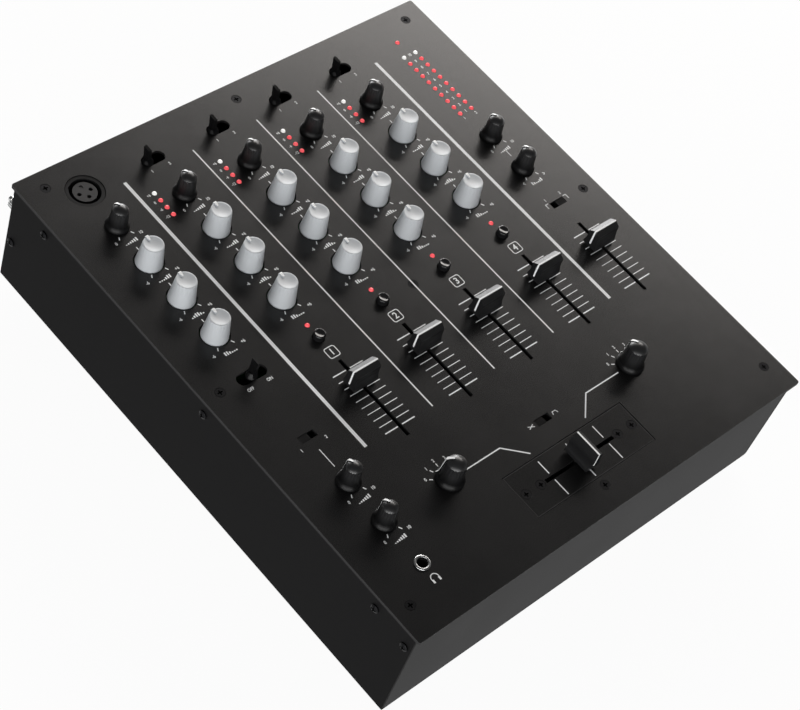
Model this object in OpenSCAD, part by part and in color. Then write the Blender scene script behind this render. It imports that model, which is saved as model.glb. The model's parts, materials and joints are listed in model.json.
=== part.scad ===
// Four-channel disc-jockey mixer in a sheet-metal case, as an assembly of separate pieces.
// Millimetres. +Z is up and +Y points to the rear. The origin lies on the floor, below the
// middle of the whole outline. Sub-parts are drawn in the panel's own frame, whose origin is
// the middle of the panel's top face.

/* [Case] */
// Width of the top panel
panel_w = 320; // [290:1:350]
// Depth of the top panel, front to rear
panel_d = 360; // [326:1:394]
// Thickness of the top panel
panel_t = 2; // [1.8:0.1:2.5]
// Corner radius of the top panel
panel_corner_r = 1.5; // [0.5:0.5:4]
// Height of the case from its underside to the top of the panel
case_h = 81; // [78:1:100]
// Sheet thickness of the tray, the front and the rear
sheet_t = 1.2; // [1:0.1:1.6]
// Outside bend radius of the tray
bend_r = 2; // [1.7:0.1:3]
// Overhang of the panel past each side of the case
side_overhang = 1; // [0.5:0.1:2]
// Overhang of the panel past the front
front_overhang = 3; // [2:0.5:5]
// Overhang of the panel past the rear
rear_overhang = 2.5; // [1:0.5:4]
// Depth of the flange along the top of the front and rear sheets
flange_w = 16; // [14:0.5:18]
// Depth of the flanges at the ends of the front and rear sheets
end_flange_w = 9; // [8:0.5:12]
// Height of the flanges under the sides of the panel
side_flange_h = 16; // [15:0.5:20]
// Gap left between sheets that slide together
seam = 0.2; // [0.1:0.05:0.3]
// Height of the rubber feet
foot_h = 9; // [6:0.5:14]
// Diameter of a foot at the case
foot_d = 22; // [18:0.5:28]
// Diameter of a foot at the floor
foot_tip_d = 18; // [15:0.5:18]
// Distance of the feet from the sides, the front and the rear
foot_inset = 26; // [20:1:40]

/* [Layout of the panel] */
// Distance of the outer columns of controls from the sides of the panel
column_margin = 34.5; // [33:0.1:37]
// Distance of the row with the input levers and the microphone socket from the rear edge
socket_margin = 25; // [24:0.5:27]
// Distance of the crossfader and the headphone jack from the front edge
crossfader_margin = 36; // [35:0.5:37]
// Distance between rows of knobs, as a share of the way from the socket row to the crossfader
row_share = 0.1007; // [0.098:0.0001:0.102]
// Place of the gain row, as a share of that way
gain_share = 0.1013; // [0.098:0.0001:0.104]
// Place of the row with the cue buttons and the microphone lever, as a share of that way
middle_share = 0.5137; // [0.51:0.0001:0.517]
// Place of the rear end of the fader travel, as a share of that way
fader_share = 0.601; // [0.599:0.0001:0.604]
// Place of the row with the assign knobs and the slope switch, as a share of that way
lower_share = 0.8946; // [0.89:0.0001:0.898]
// Distance of a channel's lights from its column
channel_light_x = 16; // [15:0.1:17]
// Distance of a channel's rear light behind the gain row
channel_light_rise = 8.6; // [7:0.1:9.4]
// Distance of the meters' rear lights before the socket row
meter_drop = 12.2; // [11:0.1:14]
// Distance of a meter's lights from the master column
meter_x = 5; // [4.5:0.1:8]
// Distance between neighbouring lights
light_pitch = 6.05; // [5.8:0.05:6.2]
// Number of lights in each meter
meter_lights = 10; // [6:1:10]
// Distance of a cue light from its button
cue_light_gap = 10; // [9:0.5:11]

/* [Knobs] */
// Diameter of a large knob at its base
knob_d = 16.7; // [16:0.1:17.4]
// Diameter of a large knob at its top
knob_top_d = 12.8; // [12:0.1:13.6]
// Height of a large knob above the panel
knob_h = 15.9; // [14:0.1:18]
// Depth that a large knob sinks into its panel hole
knob_sink = 0.8; // [0.4:0.1:1.2]
// Gap between a large knob and its panel hole
knob_hole_gap = 0.85; // [0.5:0.05:1]
// Depth of the dish in the top of a large knob
knob_dish = 0.7; // [0.3:0.1:1]
// Diameter of a small knob at its rim
small_knob_d = 14.7; // [14:0.1:15.2]
// Diameter of a small knob at its neck
small_neck_d = 11.6; // [11:0.1:12]
// Diameter of a small knob at its top
small_top_d = 9.8; // [9.4:0.1:10.2]
// Height of a small knob above the panel
small_knob_h = 17.1; // [16:0.1:18]
// Diameter of an assign knob at its rim
assign_knob_d = 17.4; // [17:0.1:18]
// Diameter of an assign knob at its neck
assign_neck_d = 14; // [13.4:0.1:14.6]
// Diameter of an assign knob at its top
assign_top_d = 12; // [11.4:0.1:12.6]
// Height of an assign knob above the panel
assign_knob_h = 19.1; // [18:0.1:20]
// Height of the neck of a bell-shaped knob above the panel
neck_rise = 5; // [4.5:0.1:6]
// Height of the rim of a bell-shaped knob
rim_h = 0.9; // [0.6:0.1:1.4]
// Height of the crown of a bell-shaped knob, as a share of its diameter
crown_share = 0.27; // [0.22:0.01:0.32]
// Gap below a bell-shaped knob
bell_gap = 0.4; // [0.3:0.05:0.8]
// Wall thickness of the knobs
knob_wall = 1.5; // [1.2:0.1:1.7]
// Number of flutes around a knob
flute_count = 20; // [16:1:22]
// Radius of a flute
flute_r = 0.8; // [0.6:0.05:0.85]
// Width of the pointer rib of a knob where it is widest
pointer_w = 1.9; // [1.4:0.1:2.2]
// Width of the pointer rib of a knob at its ends
pointer_tip_w = 0.8; // [0.6:0.05:1.2]
// Height of the pointer rib over the knob's surface
pointer_rise = 0.45; // [0.3:0.05:0.6]
// Turn of the left assign knob from the middle position
assign_left_turn = 30; // [0:30:60]
// Diameter of the control shafts
shaft_d = 6; // [5.6:0.1:6.2]
// Depth of the flat on a control shaft
shaft_flat = 1.5; // [1:0.1:2]
// Gap around a shaft in its knob
knob_fit = 0.05; // [0.03:0.01:0.1]
// Gap around a shaft in its bushing
shaft_gap = 0.2; // [0.15:0.05:0.3]

/* [Faders] */
// Travel of the channel and master faders
fader_travel = 45.4; // [40:0.1:46]
// Distance of the faders from the rear end of their travel
fader_rest = 10.1; // [0:0.1:20]
// Travel of the crossfader
crossfader_travel = 45.6; // [40:0.1:46]
// Width of the fader slots
fader_slot_w = 2.6; // [2.4:0.1:3]
// Length of a fader slot past each end of the travel
fader_slot_end = 7.5; // [5:0.5:8]
// Length of the crossfader slot past each end of the travel
crossfader_slot_end = 5.5; // [4.5:0.5:7]
// Width of a fader cap across its travel
cap_w = 18.4; // [17:0.1:20]
// Depth of a fader cap at its base
cap_d = 10.4; // [9.6:0.1:11]
// Depth of a fader cap at its shoulders
cap_shoulder_d = 7.4; // [7:0.1:8]
// Width of the ridge of a fader cap
cap_ridge_w = 1.1; // [0.8:0.1:1.4]
// Height of a fader cap
cap_h = 13.7; // [12.5:0.1:15]
// Height of the roof of a fader cap
cap_roof_h = 2.2; // [1.5:0.1:2.6]
// Gap below a fader cap
cap_gap = 1.7; // [1:0.1:2]
// Depth of the finger dip in the faces of a fader cap
cap_dip = 0.35; // [0.2:0.05:0.5]
// Thickness of a fader lever
lever_t = 1.4; // [1.2:0.1:1.6]
// Width of a fader lever along its travel
lever_w = 6; // [5:0.1:7]
// Width of the crossfader plate
plate_w = 98; // [96:0.5:100]
// Depth of the crossfader plate
plate_d = 30; // [28:0.5:30]
// Thickness of the crossfader plate
plate_t = 1.6; // [1.5:0.1:1.8]
// Gap around the crossfader plate
plate_gap = 0.4; // [0.3:0.05:0.6]

/* [Switches, buttons and sockets] */
// Gap between a lever's base and its slot
lever_gap = 0.35; // [0.3:0.05:0.6]
// Lean of an input lever from upright
input_lean = 10.3; // [8:0.1:10.5]
// Lean of the microphone lever at its ends
mic_lean = 15; // [12:0.1:16]
// Depth of a lever's pivot below the panel
lever_pivot = 23; // [22:0.1:24]
// Height of a lever above the panel
lever_h = 13.5; // [11:0.1:15]
// Diameter of a lever's round base
lever_base_d = 7.4; // [7:0.1:8]
// Width of a lever's blade at its tip
blade_w = 5.2; // [4.5:0.1:6]
// Thickness of a lever's blade at its tip
blade_t = 1.8; // [1.4:0.1:2.4]
// Length of a slide-switch window
window_l = 11.7; // [11:0.1:12.5]
// Width of a slide-switch window
window_w = 4.8; // [4.4:0.1:5.2]
// Travel of a slide switch
slide_travel = 4.6; // [4:0.1:4.8]
// Depth of a slide switch's grip below the panel's face
slide_sink = 0.3; // [0.1:0.1:0.6]
// Diameter of a cue button
button_d = 7.4; // [7:0.1:8]
// Height of a cue button above the panel
button_h = 4.3; // [3.5:0.1:5]
// Depth of the dish in the top of a cue button
button_dish = 0.4; // [0.2:0.05:0.6]
// Travel of a cue button
button_travel = 1.5; // [1:0.1:1.8]
// Gap between a button, grip or lens and its hole
hole_gap = 0.35; // [0.3:0.05:0.5]
// Diameter of an indicator lens
lens_d = 3; // [2.8:0.1:3.2]
// Rise of an indicator lens over the panel
lens_rise = 1.1; // [0.8:0.1:1.4]
// Diameter of the microphone socket's shell
mic_d = 23.4; // [23:0.1:24.4]
// Diameter of the microphone socket's groove outside
mic_groove_d = 19.3; // [19:0.1:19.8]
// Diameter of the microphone socket's core
mic_core_d = 14.8; // [14.4:0.1:15.2]
// Depth of the microphone socket below the panel
mic_depth = 26; // [24:0.5:27]
// Diameter of the headphone jack's hole
jack_d = 6.5; // [6.4:0.05:6.6]
// Outside diameter of the headphone jack's ring nut
jack_nut_d = 9.8; // [9.6:0.1:11]
// Depth of the headphone jack's hole
jack_depth = 28; // [26:0.5:30]

/* [Inside and rear] */
// Distance from the panel's top face to the control board
board_drop = 16; // [15.5:0.1:17]
// Thickness of the circuit boards
board_t = 1.6; // [1.2:0.1:2]
// Height of the rear connectors, measured down from the panel
connector_drop = 48; // [47:0.5:50]
// Distance between the rows of phono jacks
phono_row_pitch = 16; // [15:0.1:17]
// Gap between neighbouring blocks of phono jacks
phono_block_gap = 4; // [3:0.1:5]
// Outside diameter of a phono jack's sleeve
phono_d = 8.3; // [8.1:0.1:8.5]
// Length of a phono jack's sleeve
phono_l = 8.8; // [8:0.1:9.5]
// Height of the ground post below the panel
post_drop = 30.5; // [28:0.5:32]
// Reach of the ground post past the rear sheet
post_reach = 13.5; // [12:0.5:15]
// Diameter of the ground post's thumb nut
post_nut_d = 8.6; // [8:0.1:10]
// Lean of the power rocker to each side
rocker_lean = 8; // [6:0.5:9]

/* [Hidden] */
$fn = 48;
// Overcut of every cutting tool past the face it opens
cut = 1;
// Gap between separate pieces of one sub-part that bear on each other
bearing_gap = 0.05;
// Radii of the screws, their clearance holes and their heads
screw_r = 1.5;
screw_hole_r = 1.6;
screw_head_r = 3;
screw_head_h = 1.4;
screw_l = 8;
pan_screw_l = 6;
screw_head_gap = 0.3;
screw_sink = 0.1;
recess_l = 3.4;
recess_w = 0.9;
recess_depth = 1;

case_w = panel_w - 2 * side_overhang;
case_front = front_overhang - panel_d / 2;
case_rear = panel_d / 2 - rear_overhang;
case_d = case_rear - case_front;
inner_w = case_w - 2 * sheet_t - 2 * seam;
wall_h = case_h - sheet_t - panel_t;
panel_z = foot_h + case_h;
panel_y = (rear_overhang - post_reach) / 2;
floor_z = sheet_t - case_h;

// Columns and rows of controls
column_pitch = (panel_w - 2 * column_margin) / 5;
socket_y = panel_d / 2 - socket_margin;
crossfader_y = crossfader_margin - panel_d / 2;
layout_d = socket_y - crossfader_y;
row_pitch = row_share * layout_d;
gain_y = socket_y - gain_share * layout_d;
middle_y = socket_y - middle_share * layout_d;
fader_top_y = socket_y - fader_share * layout_d;
lower_y = socket_y - lower_share * layout_d;
channel_light_y = gain_y + channel_light_rise;
meter_y = socket_y - meter_drop;

// Screws of the panel: rear row, middle row, front corners and front middle
rear_screw_x = panel_w / 2 - 15.5;
side_screw_x = panel_w / 2 - 11.5;
rear_screw_y = case_rear - 0.6 * flange_w;
front_screw_y = case_front + 0.75 * flange_w;
front_tab_y = case_front + flange_w + 1.3;
front_tab_end = front_tab_y + 6;
front_tab_w = 12;
panel_screws = [
    for (s = [-1, 0, 1]) [s * rear_screw_x, rear_screw_y],
    for (s = [-1, 0, 1]) [s * side_screw_x, middle_y],
    for (s = [-1, 1]) [s * side_screw_x, front_tab_y],
    [0, front_screw_y]
];
// Screws of each side wall: a row along the panel's flange and one near each end
side_row_inset = 30.25;
side_row_pitch = case_d / 2 - side_row_inset;
side_row_z = -11.5;
end_screw_inset = 4.8;
side_screws = [
    for (s = [-1, 0, 1]) [s * side_row_pitch, side_row_z],
    [case_rear - end_screw_inset, -0.56 * case_h],
    [case_front + end_screw_inset, -0.19 * case_h]
];
side_flange_front = front_tab_end + 2;
side_flange_rear = case_rear - flange_w - 2;
side_flange_l = side_flange_rear - side_flange_front;
// Depth of the screw's seat in a foot, measured down from the case, and the bore below it
foot_seat = 4;
foot_bore_r = 4;
foot_x = case_w / 2 - foot_inset;
foot_front_y = case_front + foot_inset;
foot_rear_y = case_rear - foot_inset;

// Control board
board_top = -board_drop;
board_w = 2 * (side_screw_x + 4.5);
board_front = case_front + 20;
board_rear = case_rear - 18;
standoff_r = 3.2;

// Large and small knobs, their shafts and potentiometers
large_hole_r = knob_d / 2 + knob_hole_gap;
shaft_hole_gap = 1;
shaft_hole_r = shaft_d / 2 + shaft_hole_gap;
shaft_floor = 2;
shaft_base = board_top + shaft_floor;
shaft_drop = 4;
crown_land = 0.15;
flare_lap = 0.5;
boss_wall = 1.3;
boss_r = shaft_d / 2 + boss_wall;
pot_w = 11;
pot_h = 7;
rotary_w = 16;
bushing_wall = 1.1;
bushing_drop = 0.8;
bushing_r = shaft_d / 2 + bushing_wall;
bushing_top = -panel_t - bushing_drop;

// Faders
fader_mid_y = fader_top_y - fader_travel / 2;
fader_y = fader_top_y - fader_rest;
carriage_l = 10;
stop_gap = 0.5;
track_w = 12;
track_h = 10;
track_floor = 1.5;
track_roof = 1.5;
track_end = 8;
track_cavity_w = 9;
carriage_gap = 0.4;
cap_top = cap_gap + cap_h;
cap_grip = 8;
dip_r = 20;
plate_screw_x = plate_w / 2 - 4.8;
ledge_t = 1.5;
ledge_d = 18;
ledge_reach = 6;
crossfader_cavity = crossfader_travel + carriage_l + 2 * stop_gap;
track_screw_x = crossfader_cavity / 2 + track_end / 2;
crossfader_track_z = -panel_t - track_h;

// Lever switches, whose slots follow the swing of the levers' bases
function slot_length(lean) = 2 * (lever_pivot * tan(lean) + lever_base_d / (2 * cos(lean)) + lever_gap);
lever_slot_w = lever_base_d + 2 * lever_gap;
ball_r = 3;
ball_gap = 0.3;
stem_r = 2;
lever_pin_r = 1.2;
lever_pin_l = 8.8;
lever_pin_gap = 0.15;
lever_cone_h = 2.4;
lever_collar_h = 1;
lever_neck_r = 2.2;
lever_neck_h = 3;
lever_stem_flare = 1;
lever_waist_rise = 5;
blade_low_rise = 0.6;
blade_low_t = 3.4;
blade_low_w = 6.4;
waist_t = 2.4;
waist_w = 4.6;
lever_house_l = 14;
lever_house_w = 10;
lever_house_wall = 1.5;
lever_house_base = 3;
lever_house_floor = -lever_pivot - ball_r - lever_house_base;
lever_lip = 1.2;
lever_lip_reach = 2;

// Slide switches
grip_l = window_l - slide_travel - 2 * hole_gap;
grip_w = window_w - 2 * hole_gap;
slide_lip_l = 1.5;
slide_lip_w = 1;
slide_base_l = grip_l + 2 * slide_lip_l;
slide_base_w = grip_w + 2 * slide_lip_w;
slide_base_h = 2.5;
slide_base_drop = 2.5;
slide_base_top = -panel_t - slide_base_drop;
slide_wall = 1.5;
slide_house_l = slide_base_l + slide_travel + 2 * hole_gap + 2 * slide_wall;
slide_house_w = slide_base_w + 2 * hole_gap + 2 * slide_wall;
slide_house_drop = 0.5;
slide_house_top = -panel_t - slide_house_drop;

// Cue buttons
button_flange_w = 1.1;
button_flange_drop = 0.3;
button_flange_r = button_d / 2 + button_flange_w;
button_flange_top = -panel_t - button_flange_drop;
button_flange_h = 1;
button_stem_r = 1.5;
button_stem_l = 5;
button_house_w = 9;
button_house_gap = 0.7;
button_house_top = button_flange_top - button_flange_h - button_travel - button_house_gap;
button_edge_r = 0.8;

// Microphone socket and headphone jack
mic_flange_r = mic_d / 2 + 2.5;
mic_flange_t = 2;
jack_body = [16, 14];
jack_bushing_r = jack_d / 2 + 0.75;

// Lights
spacer_lip = 0.7;
spacer_drop = 0.3;
spacer_r = lens_d / 2 + spacer_lip;

// Rear connectors, from the left end of the case to its right end
connector_z = -connector_drop;
output_flange = [26, 31, 2];
post_inset = 11;
inlet_inset = 21;
rocker_pitch = 23.5;
usb_pitch = 16.5;
output_gap = 22;
output_pitch = 30;
post_x = -case_w / 2 + post_inset;
inlet_x = case_w / 2 - inlet_inset;
rocker_x = inlet_x - rocker_pitch;
usb_x = rocker_x - usb_pitch;
output_x = [usb_x - output_gap - output_pitch, usb_x - output_gap];
// Five blocks of phono jacks fill the sheet between the ground post and the output sockets
phono_inset = 22;
phono_left = -case_w / 2 + phono_inset;
phono_right = output_x[0] - output_flange[0] / 2 - phono_block_gap;
phono_block_w = (phono_right - phono_left - 4 * phono_block_gap) / 5;
phono_block_pitch = phono_block_w + phono_block_gap;
first_block_x = phono_left + phono_block_w / 2;
phono_pitch = phono_block_w / 2;
phono_boss_r = phono_d / 2 + 1.1;
phono_boss_rise = 0.8;
phono_block_h = phono_row_pitch + 18;
phono_block_d = 12;
output_barrel_r = 11.8;
output_cavity_r = 9.6;
output_cavity_d = 15;
usb_size = [12, 15, 10.9];
usb_mouth = [8.6, 10, 7.9];
inlet_flange = [30, 22.5];
inlet_body = [27, 22, 19.6];
inlet_mouth = [24.4, 16, 16.8];
inlet_chamfer = 4;
rocker_frame = [15.6, 22];
rocker_body = [13, 16, 19.4];
rocker_size = [10.2, 16.4];
rocker_gap = 0.5;
rocker_pivot_y = -1.4;
rocker_pin_r = 1.5;
bezel_t = 1.6;
stud_r = 2;
cutout_gap = 0.3;

// Power supply: its place, its board on posts, its transformer and its capacitors
supply_side = 71;
supply_rear = 117.5;
supply_x = case_w / 2 - supply_side;
supply_y = case_rear - supply_rear;
supply_size = [96, 74];
supply_post_h = 6;
supply_post_r = 3;
supply_post_inset = 6;
core_size = [46, 24, 38];
coil_size = [30, 44, 26];
coil_rise = 6;
transformer_x = -18;
capacitor_r = 7;
capacitor_h = 22;
capacitor_x = 28;
capacitor_pitch = 20;

CHANNELS = [1, 2, 3, 4];
TONES = ["treble", "mid", "bass"];

// Column 0 is the microphone's, 1 to 4 are the channels' and 5 is the master's
function column(k) = (k - 2.5) * column_pitch;
// Row 0 is the gain row and rows 1 to 3 are the tone rows
function row(r) = gain_y - r * row_pitch;

tone_knobs = [for (k = [0 : 4], r = [1 : 3]) [column(k), row(r)]];
assign_knobs = [for (k = [1, 4]) [column(k), lower_y]];
small_knobs = [
    for (k = [0 : 4]) [column(k), row(0)],
    for (r = [2, 3]) [column(5), row(r)],
    for (r = [0, 1]) [column(0), lower_y + r * row_pitch]
];
input_levers = [for (k = CHANNELS) [column(k), socket_y]];
slide_switches = [[column(0), fader_mid_y], [column(5), middle_y], [0, lower_y]];
cue_buttons = [for (k = CHANNELS) [column(k), middle_y]];
fader_columns = [1, 2, 3, 4, 5];
lights = [
    for (k = CHANNELS, i = [0 : 3]) [column(k) - channel_light_x, channel_light_y - i * light_pitch],
    for (s = [-1, 1], i = [0 : meter_lights - 1]) [column(5) + s * meter_x, meter_y - i * light_pitch],
    for (k = CHANNELS) [column(k), middle_y + cue_light_gap],
    [column(5), socket_y]
];

// Places the children in the panel's frame
module on_panel() {
    translate([0, panel_y, panel_z]) children();
}

// Places a copy of the children at each point of a list
module at_each(points) {
    for (p = points) translate([p[0], p[1], 0]) children();
}

module rounded_rect(w, d, r) {
    square([w - 2 * r, d], center = true);
    square([w, d - 2 * r], center = true);
    for (x = [-1, 1], y = [-1, 1]) translate([x * (w / 2 - r), y * (d / 2 - r)]) circle(r);
}

// Slot along X with round ends
module obround(l, w) {
    square([l - w, w], center = true);
    for (s = [-1, 1]) translate([s * (l - w) / 2, 0]) circle(w / 2);
}

// Cuts a 2D outline through the panel
module punch() {
    translate([0, 0, -panel_t - cut]) linear_extrude(panel_t + 2 * cut) children();
}

// Box centred in X and Y, standing on z
module block(size, z) {
    translate([-size[0] / 2, -size[1] / 2, z]) cube(size);
}

// Folded end sheet with its outer face at y = 0 and its flanges towards +Y
module end_sheet() {
    relief = 3;
    translate([-inner_w / 2, 0, 0]) cube([inner_w, sheet_t, wall_h]);
    translate([relief - inner_w / 2, 0, wall_h - sheet_t]) cube([inner_w - 2 * relief, flange_w, sheet_t]);
    for (s = [-1, 1])
        translate([s * (inner_w - sheet_t) / 2 - sheet_t / 2, 0, 0])
            cube([sheet_t, end_flange_w, wall_h - relief]);
}

// Threaded hole of a panel screw, through whatever lies under the panel
module panel_screw_hole() {
    translate([0, 0, -panel_t - screw_l]) cylinder(r = screw_hole_r, h = panel_t + screw_l + cut);
}

// Countersunk seat and clearance hole, with the sheet's face at z = 0
module countersink() {
    seat_r = screw_head_r + screw_head_gap;
    translate([0, 0, -screw_sink - screw_head_h])
        cylinder(r1 = screw_hole_r, r2 = seat_r, h = screw_head_h);
    translate([0, 0, -screw_sink]) cylinder(r = seat_r, h = screw_sink + cut);
    panel_screw_hole();
}

// Places the children at the side screws of both walls, with +Z out of the wall's face
module at_side_screws() {
    for (s = [-1, 1], p = side_screws)
        translate([s * case_w / 2, p[0], p[1]]) rotate([0, s * 90, 0]) children();
}

module side_screw_holes() {
    at_side_screws() translate([0, 0, -pan_screw_l]) cylinder(r = screw_hole_r, h = pan_screw_l + cut);
}

// Cuts through the panel for the knobs
module knob_holes() {
    at_each(tone_knobs) punch() circle(large_hole_r);
    at_each(concat(small_knobs, assign_knobs)) punch() circle(shaft_hole_r);
}

// Cuts through the panel for levers, slide switches, buttons, faders and lights
module control_holes() {
    at_each(input_levers) punch() obround(slot_length(input_lean), lever_slot_w);
    translate([column(0), middle_y, 0]) punch() obround(slot_length(mic_lean), lever_slot_w);
    at_each(slide_switches) punch() square([window_l, window_w], center = true);
    at_each(cue_buttons) punch() circle(button_d / 2 + hole_gap);
    for (k = fader_columns)
        translate([column(k), fader_mid_y, 0])
            punch() square([fader_slot_w, fader_travel + 2 * fader_slot_end], center = true);
    at_each(lights) punch() circle(lens_d / 2 + hole_gap / 2);
}

module socket_holes() {
    translate([column(0), socket_y, 0]) punch() circle(mic_d / 2 + hole_gap);
    translate([column(0), crossfader_y, 0]) punch() circle(jack_bushing_r + hole_gap);
    translate([0, crossfader_y, 0])
        punch() square([plate_w + 2 * plate_gap, plate_d + 2 * plate_gap], center = true);
}

// Ledges under the panel that carry the ends of the crossfader plate
module plate_ledges() {
    inner_x = plate_screw_x - 4;
    outer_x = plate_w / 2 + plate_gap + ledge_reach;
    for (s = [-1, 1])
        translate([s * (inner_x + outer_x) / 2, crossfader_y, 0])
            block([outer_x - inner_x, ledge_d, ledge_t], -panel_t - ledge_t);
}

module top_panel() {
    color("#2c2c2e") on_panel() difference() {
        union() {
            difference() {
                translate([0, 0, -panel_t])
                    linear_extrude(panel_t) rounded_rect(panel_w, panel_d, panel_corner_r);
                knob_holes();
                control_holes();
                socket_holes();
                at_each(panel_screws) countersink();
            }
            for (s = [-1, 1])
                translate([s * (inner_w - sheet_t) / 2, (side_flange_front + side_flange_rear) / 2, 0])
                    block([sheet_t, side_flange_l, side_flange_h], -panel_t - side_flange_h);
            plate_ledges();
        }
        side_screw_holes();
        for (s = [-1, 1]) translate([s * plate_screw_x, crossfader_y, 0]) panel_screw_hole();
    }
}

// Section of the tray: a floor and two walls with round bends
module tray_section() {
    wall_top = case_h - panel_t;
    difference() {
        union() {
            translate([-case_w / 2, bend_r]) square([case_w, wall_top - bend_r]);
            translate([bend_r - case_w / 2, 0]) square([case_w - 2 * bend_r, bend_r]);
            for (s = [-1, 1]) translate([s * (case_w / 2 - bend_r), bend_r]) circle(bend_r);
        }
        translate([sheet_t - case_w / 2, sheet_t]) square([case_w - 2 * sheet_t, wall_top]);
    }
}

module at_feet() {
    for (s = [-1, 1], y = [foot_front_y, foot_rear_y]) translate([s * foot_x, y, -case_h]) children();
}

module bottom_tray() {
    color("#222224") on_panel() difference() {
        translate([0, case_rear, -case_h]) rotate([90, 0, 0]) linear_extrude(case_d) tray_section();
        side_screw_holes();
        at_feet() translate([0, 0, -cut]) cylinder(r = screw_hole_r, h = sheet_t + 2 * cut);
    }
}

module front_panel() {
    color("#3a3a3c") on_panel() difference() {
        union() {
            translate([0, case_front, floor_z]) end_sheet();
            for (s = [-1, 1])
                translate([s * side_screw_x, (case_front + front_tab_end) / 2, 0])
                    block([front_tab_w, front_tab_end - case_front, sheet_t], -panel_t - sheet_t);
        }
        side_screw_holes();
        at_each(panel_screws) panel_screw_hole();
    }
}

// Places the children on the rear sheet's outer face, with +Z out of it and +Y up
module on_rear(x, z) {
    translate([x, case_rear, z]) rotate([-90, 0, 0]) mirror([0, 1, 0]) children();
}

// Places the children at every phono jack
module at_phono_jacks() {
    for (b = [0 : 4], c = [-1, 1], r = [-1, 1])
        on_rear(first_block_x + b * phono_block_pitch, connector_z)
            translate([c * phono_pitch / 2, r * phono_row_pitch / 2, 0]) children();
}

// Cuts an outline through the rear sheet
module rear_punch() {
    translate([0, 0, -sheet_t - cut]) linear_extrude(sheet_t + 2 * cut) children();
}

// Cuts a rectangle through the rear sheet for a body of that width and height
module rear_window(w, h) {
    rear_punch() square([w + 2 * cutout_gap, h + 2 * cutout_gap], center = true);
}

module rear_panel() {
    color("#2a2a2c") on_panel() difference() {
        translate([0, case_rear, floor_z]) mirror([0, 1, 0]) end_sheet();
        side_screw_holes();
        at_each(panel_screws) panel_screw_hole();
        at_phono_jacks() rear_punch() circle(phono_boss_r + cutout_gap);
        for (x = output_x) on_rear(x, connector_z) rear_punch() circle(output_barrel_r + cutout_gap);
        on_rear(usb_x, connector_z) rear_window(usb_size[0], usb_size[2]);
        on_rear(rocker_x, connector_z) rear_window(rocker_body[0], rocker_body[2]);
        on_rear(inlet_x, connector_z) rear_window(inlet_body[0], inlet_body[2]);
        on_rear(post_x, -post_drop) rear_punch() circle(stud_r + cutout_gap);
        translate([column(0), socket_y, -panel_t - sheet_t - cut])
            cylinder(r = mic_flange_r + cutout_gap, h = sheet_t + 2 * cut);
    }
}

module crossfader_plate() {
    face = plate_t - panel_t;
    color("#29292b") on_panel() translate([0, crossfader_y, 0]) difference() {
        translate([0, 0, -panel_t]) linear_extrude(plate_t) square([plate_w, plate_d], center = true);
        punch() square([crossfader_travel + 2 * crossfader_slot_end, fader_slot_w], center = true);
        for (s = [-1, 1], x = [plate_screw_x, track_screw_x]) translate([s * x, 0, face]) countersink();
    }
}

// Cross recess of a screw, cut from the head's face at z = 0
module cross_recess() {
    for (a = [0, 90]) rotate(a) block([recess_l, recess_w, recess_depth + cut], -recess_depth);
}

module flat_screw() {
    difference() {
        union() {
            translate([0, 0, -screw_head_h]) cylinder(r1 = screw_r, r2 = screw_head_r, h = screw_head_h);
            translate([0, 0, -screw_l]) cylinder(r = screw_r, h = screw_l);
        }
        cross_recess();
    }
}

// Pan-head screw with the underside of its head at z = 0
module pan_screw() {
    head_r = 2.8;
    head_h = 1.7;
    dome_r = 4.5;
    difference() {
        union() {
            intersection() {
                cylinder(r = head_r, h = head_h);
                translate([0, 0, head_h - dome_r]) sphere(dome_r);
            }
            translate([0, 0, -pan_screw_l]) cylinder(r = screw_r, h = pan_screw_l);
        }
        translate([0, 0, head_h]) cross_recess();
    }
}

module screws() {
    color("#1d1d1f") on_panel() {
        at_each(panel_screws) translate([0, 0, -screw_sink]) flat_screw();
        for (s = [-1, 1], x = [plate_screw_x, track_screw_x])
            translate([s * x, crossfader_y, plate_t - panel_t - screw_sink]) flat_screw();
        at_side_screws() pan_screw();
        at_feet() translate([0, 0, -foot_seat]) mirror([0, 0, 1]) pan_screw();
    }
}

module feet() {
    color("#161616") on_panel() at_feet() difference() {
        translate([0, 0, -foot_h]) cylinder(d1 = foot_tip_d, d2 = foot_d, h = foot_h);
        translate([0, 0, -foot_h - cut]) cylinder(r = foot_bore_r, h = foot_h + cut - foot_seat);
        translate([0, 0, -foot_h]) cylinder(r = screw_hole_r, h = foot_h + cut);
    }
}

// Cuts a 2D outline through the control board
module board_punch() {
    translate([0, 0, board_top - board_t - cut]) linear_extrude(board_t + 2 * cut) children();
}

module control_board() {
    color("#1f5a34") on_panel() {
        difference() {
            translate([-board_w / 2, board_front, board_top - board_t])
                cube([board_w, board_rear - board_front, board_t]);
            at_each(concat(input_levers, [[column(0), middle_y]]))
                board_punch() square([lever_house_l + 1, lever_house_w + 1], center = true);
            translate([column(0), socket_y, 0]) board_punch() circle(mic_d / 2 + 2);
            translate([column(0), crossfader_y, 0])
                board_punch() square([jack_body[0] + 2, jack_body[1] + 2], center = true);
        }
        for (s = [-1, 0, 1]) translate([s * side_screw_x, middle_y, 0]) difference() {
            translate([0, 0, board_top]) cylinder(r = standoff_r, h = board_drop - panel_t);
            panel_screw_hole();
        }
    }
}

// Potentiometer or rotary switch on the board, bored for its shaft
module pot_body(w) {
    difference() {
        union() {
            block([w, w, pot_h], board_top);
            translate([0, 0, board_top]) cylinder(r = bushing_r, h = bushing_top - board_top);
        }
        translate([0, 0, shaft_base - shaft_gap]) cylinder(r = shaft_d / 2 + shaft_gap, h = board_drop);
    }
}

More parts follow.
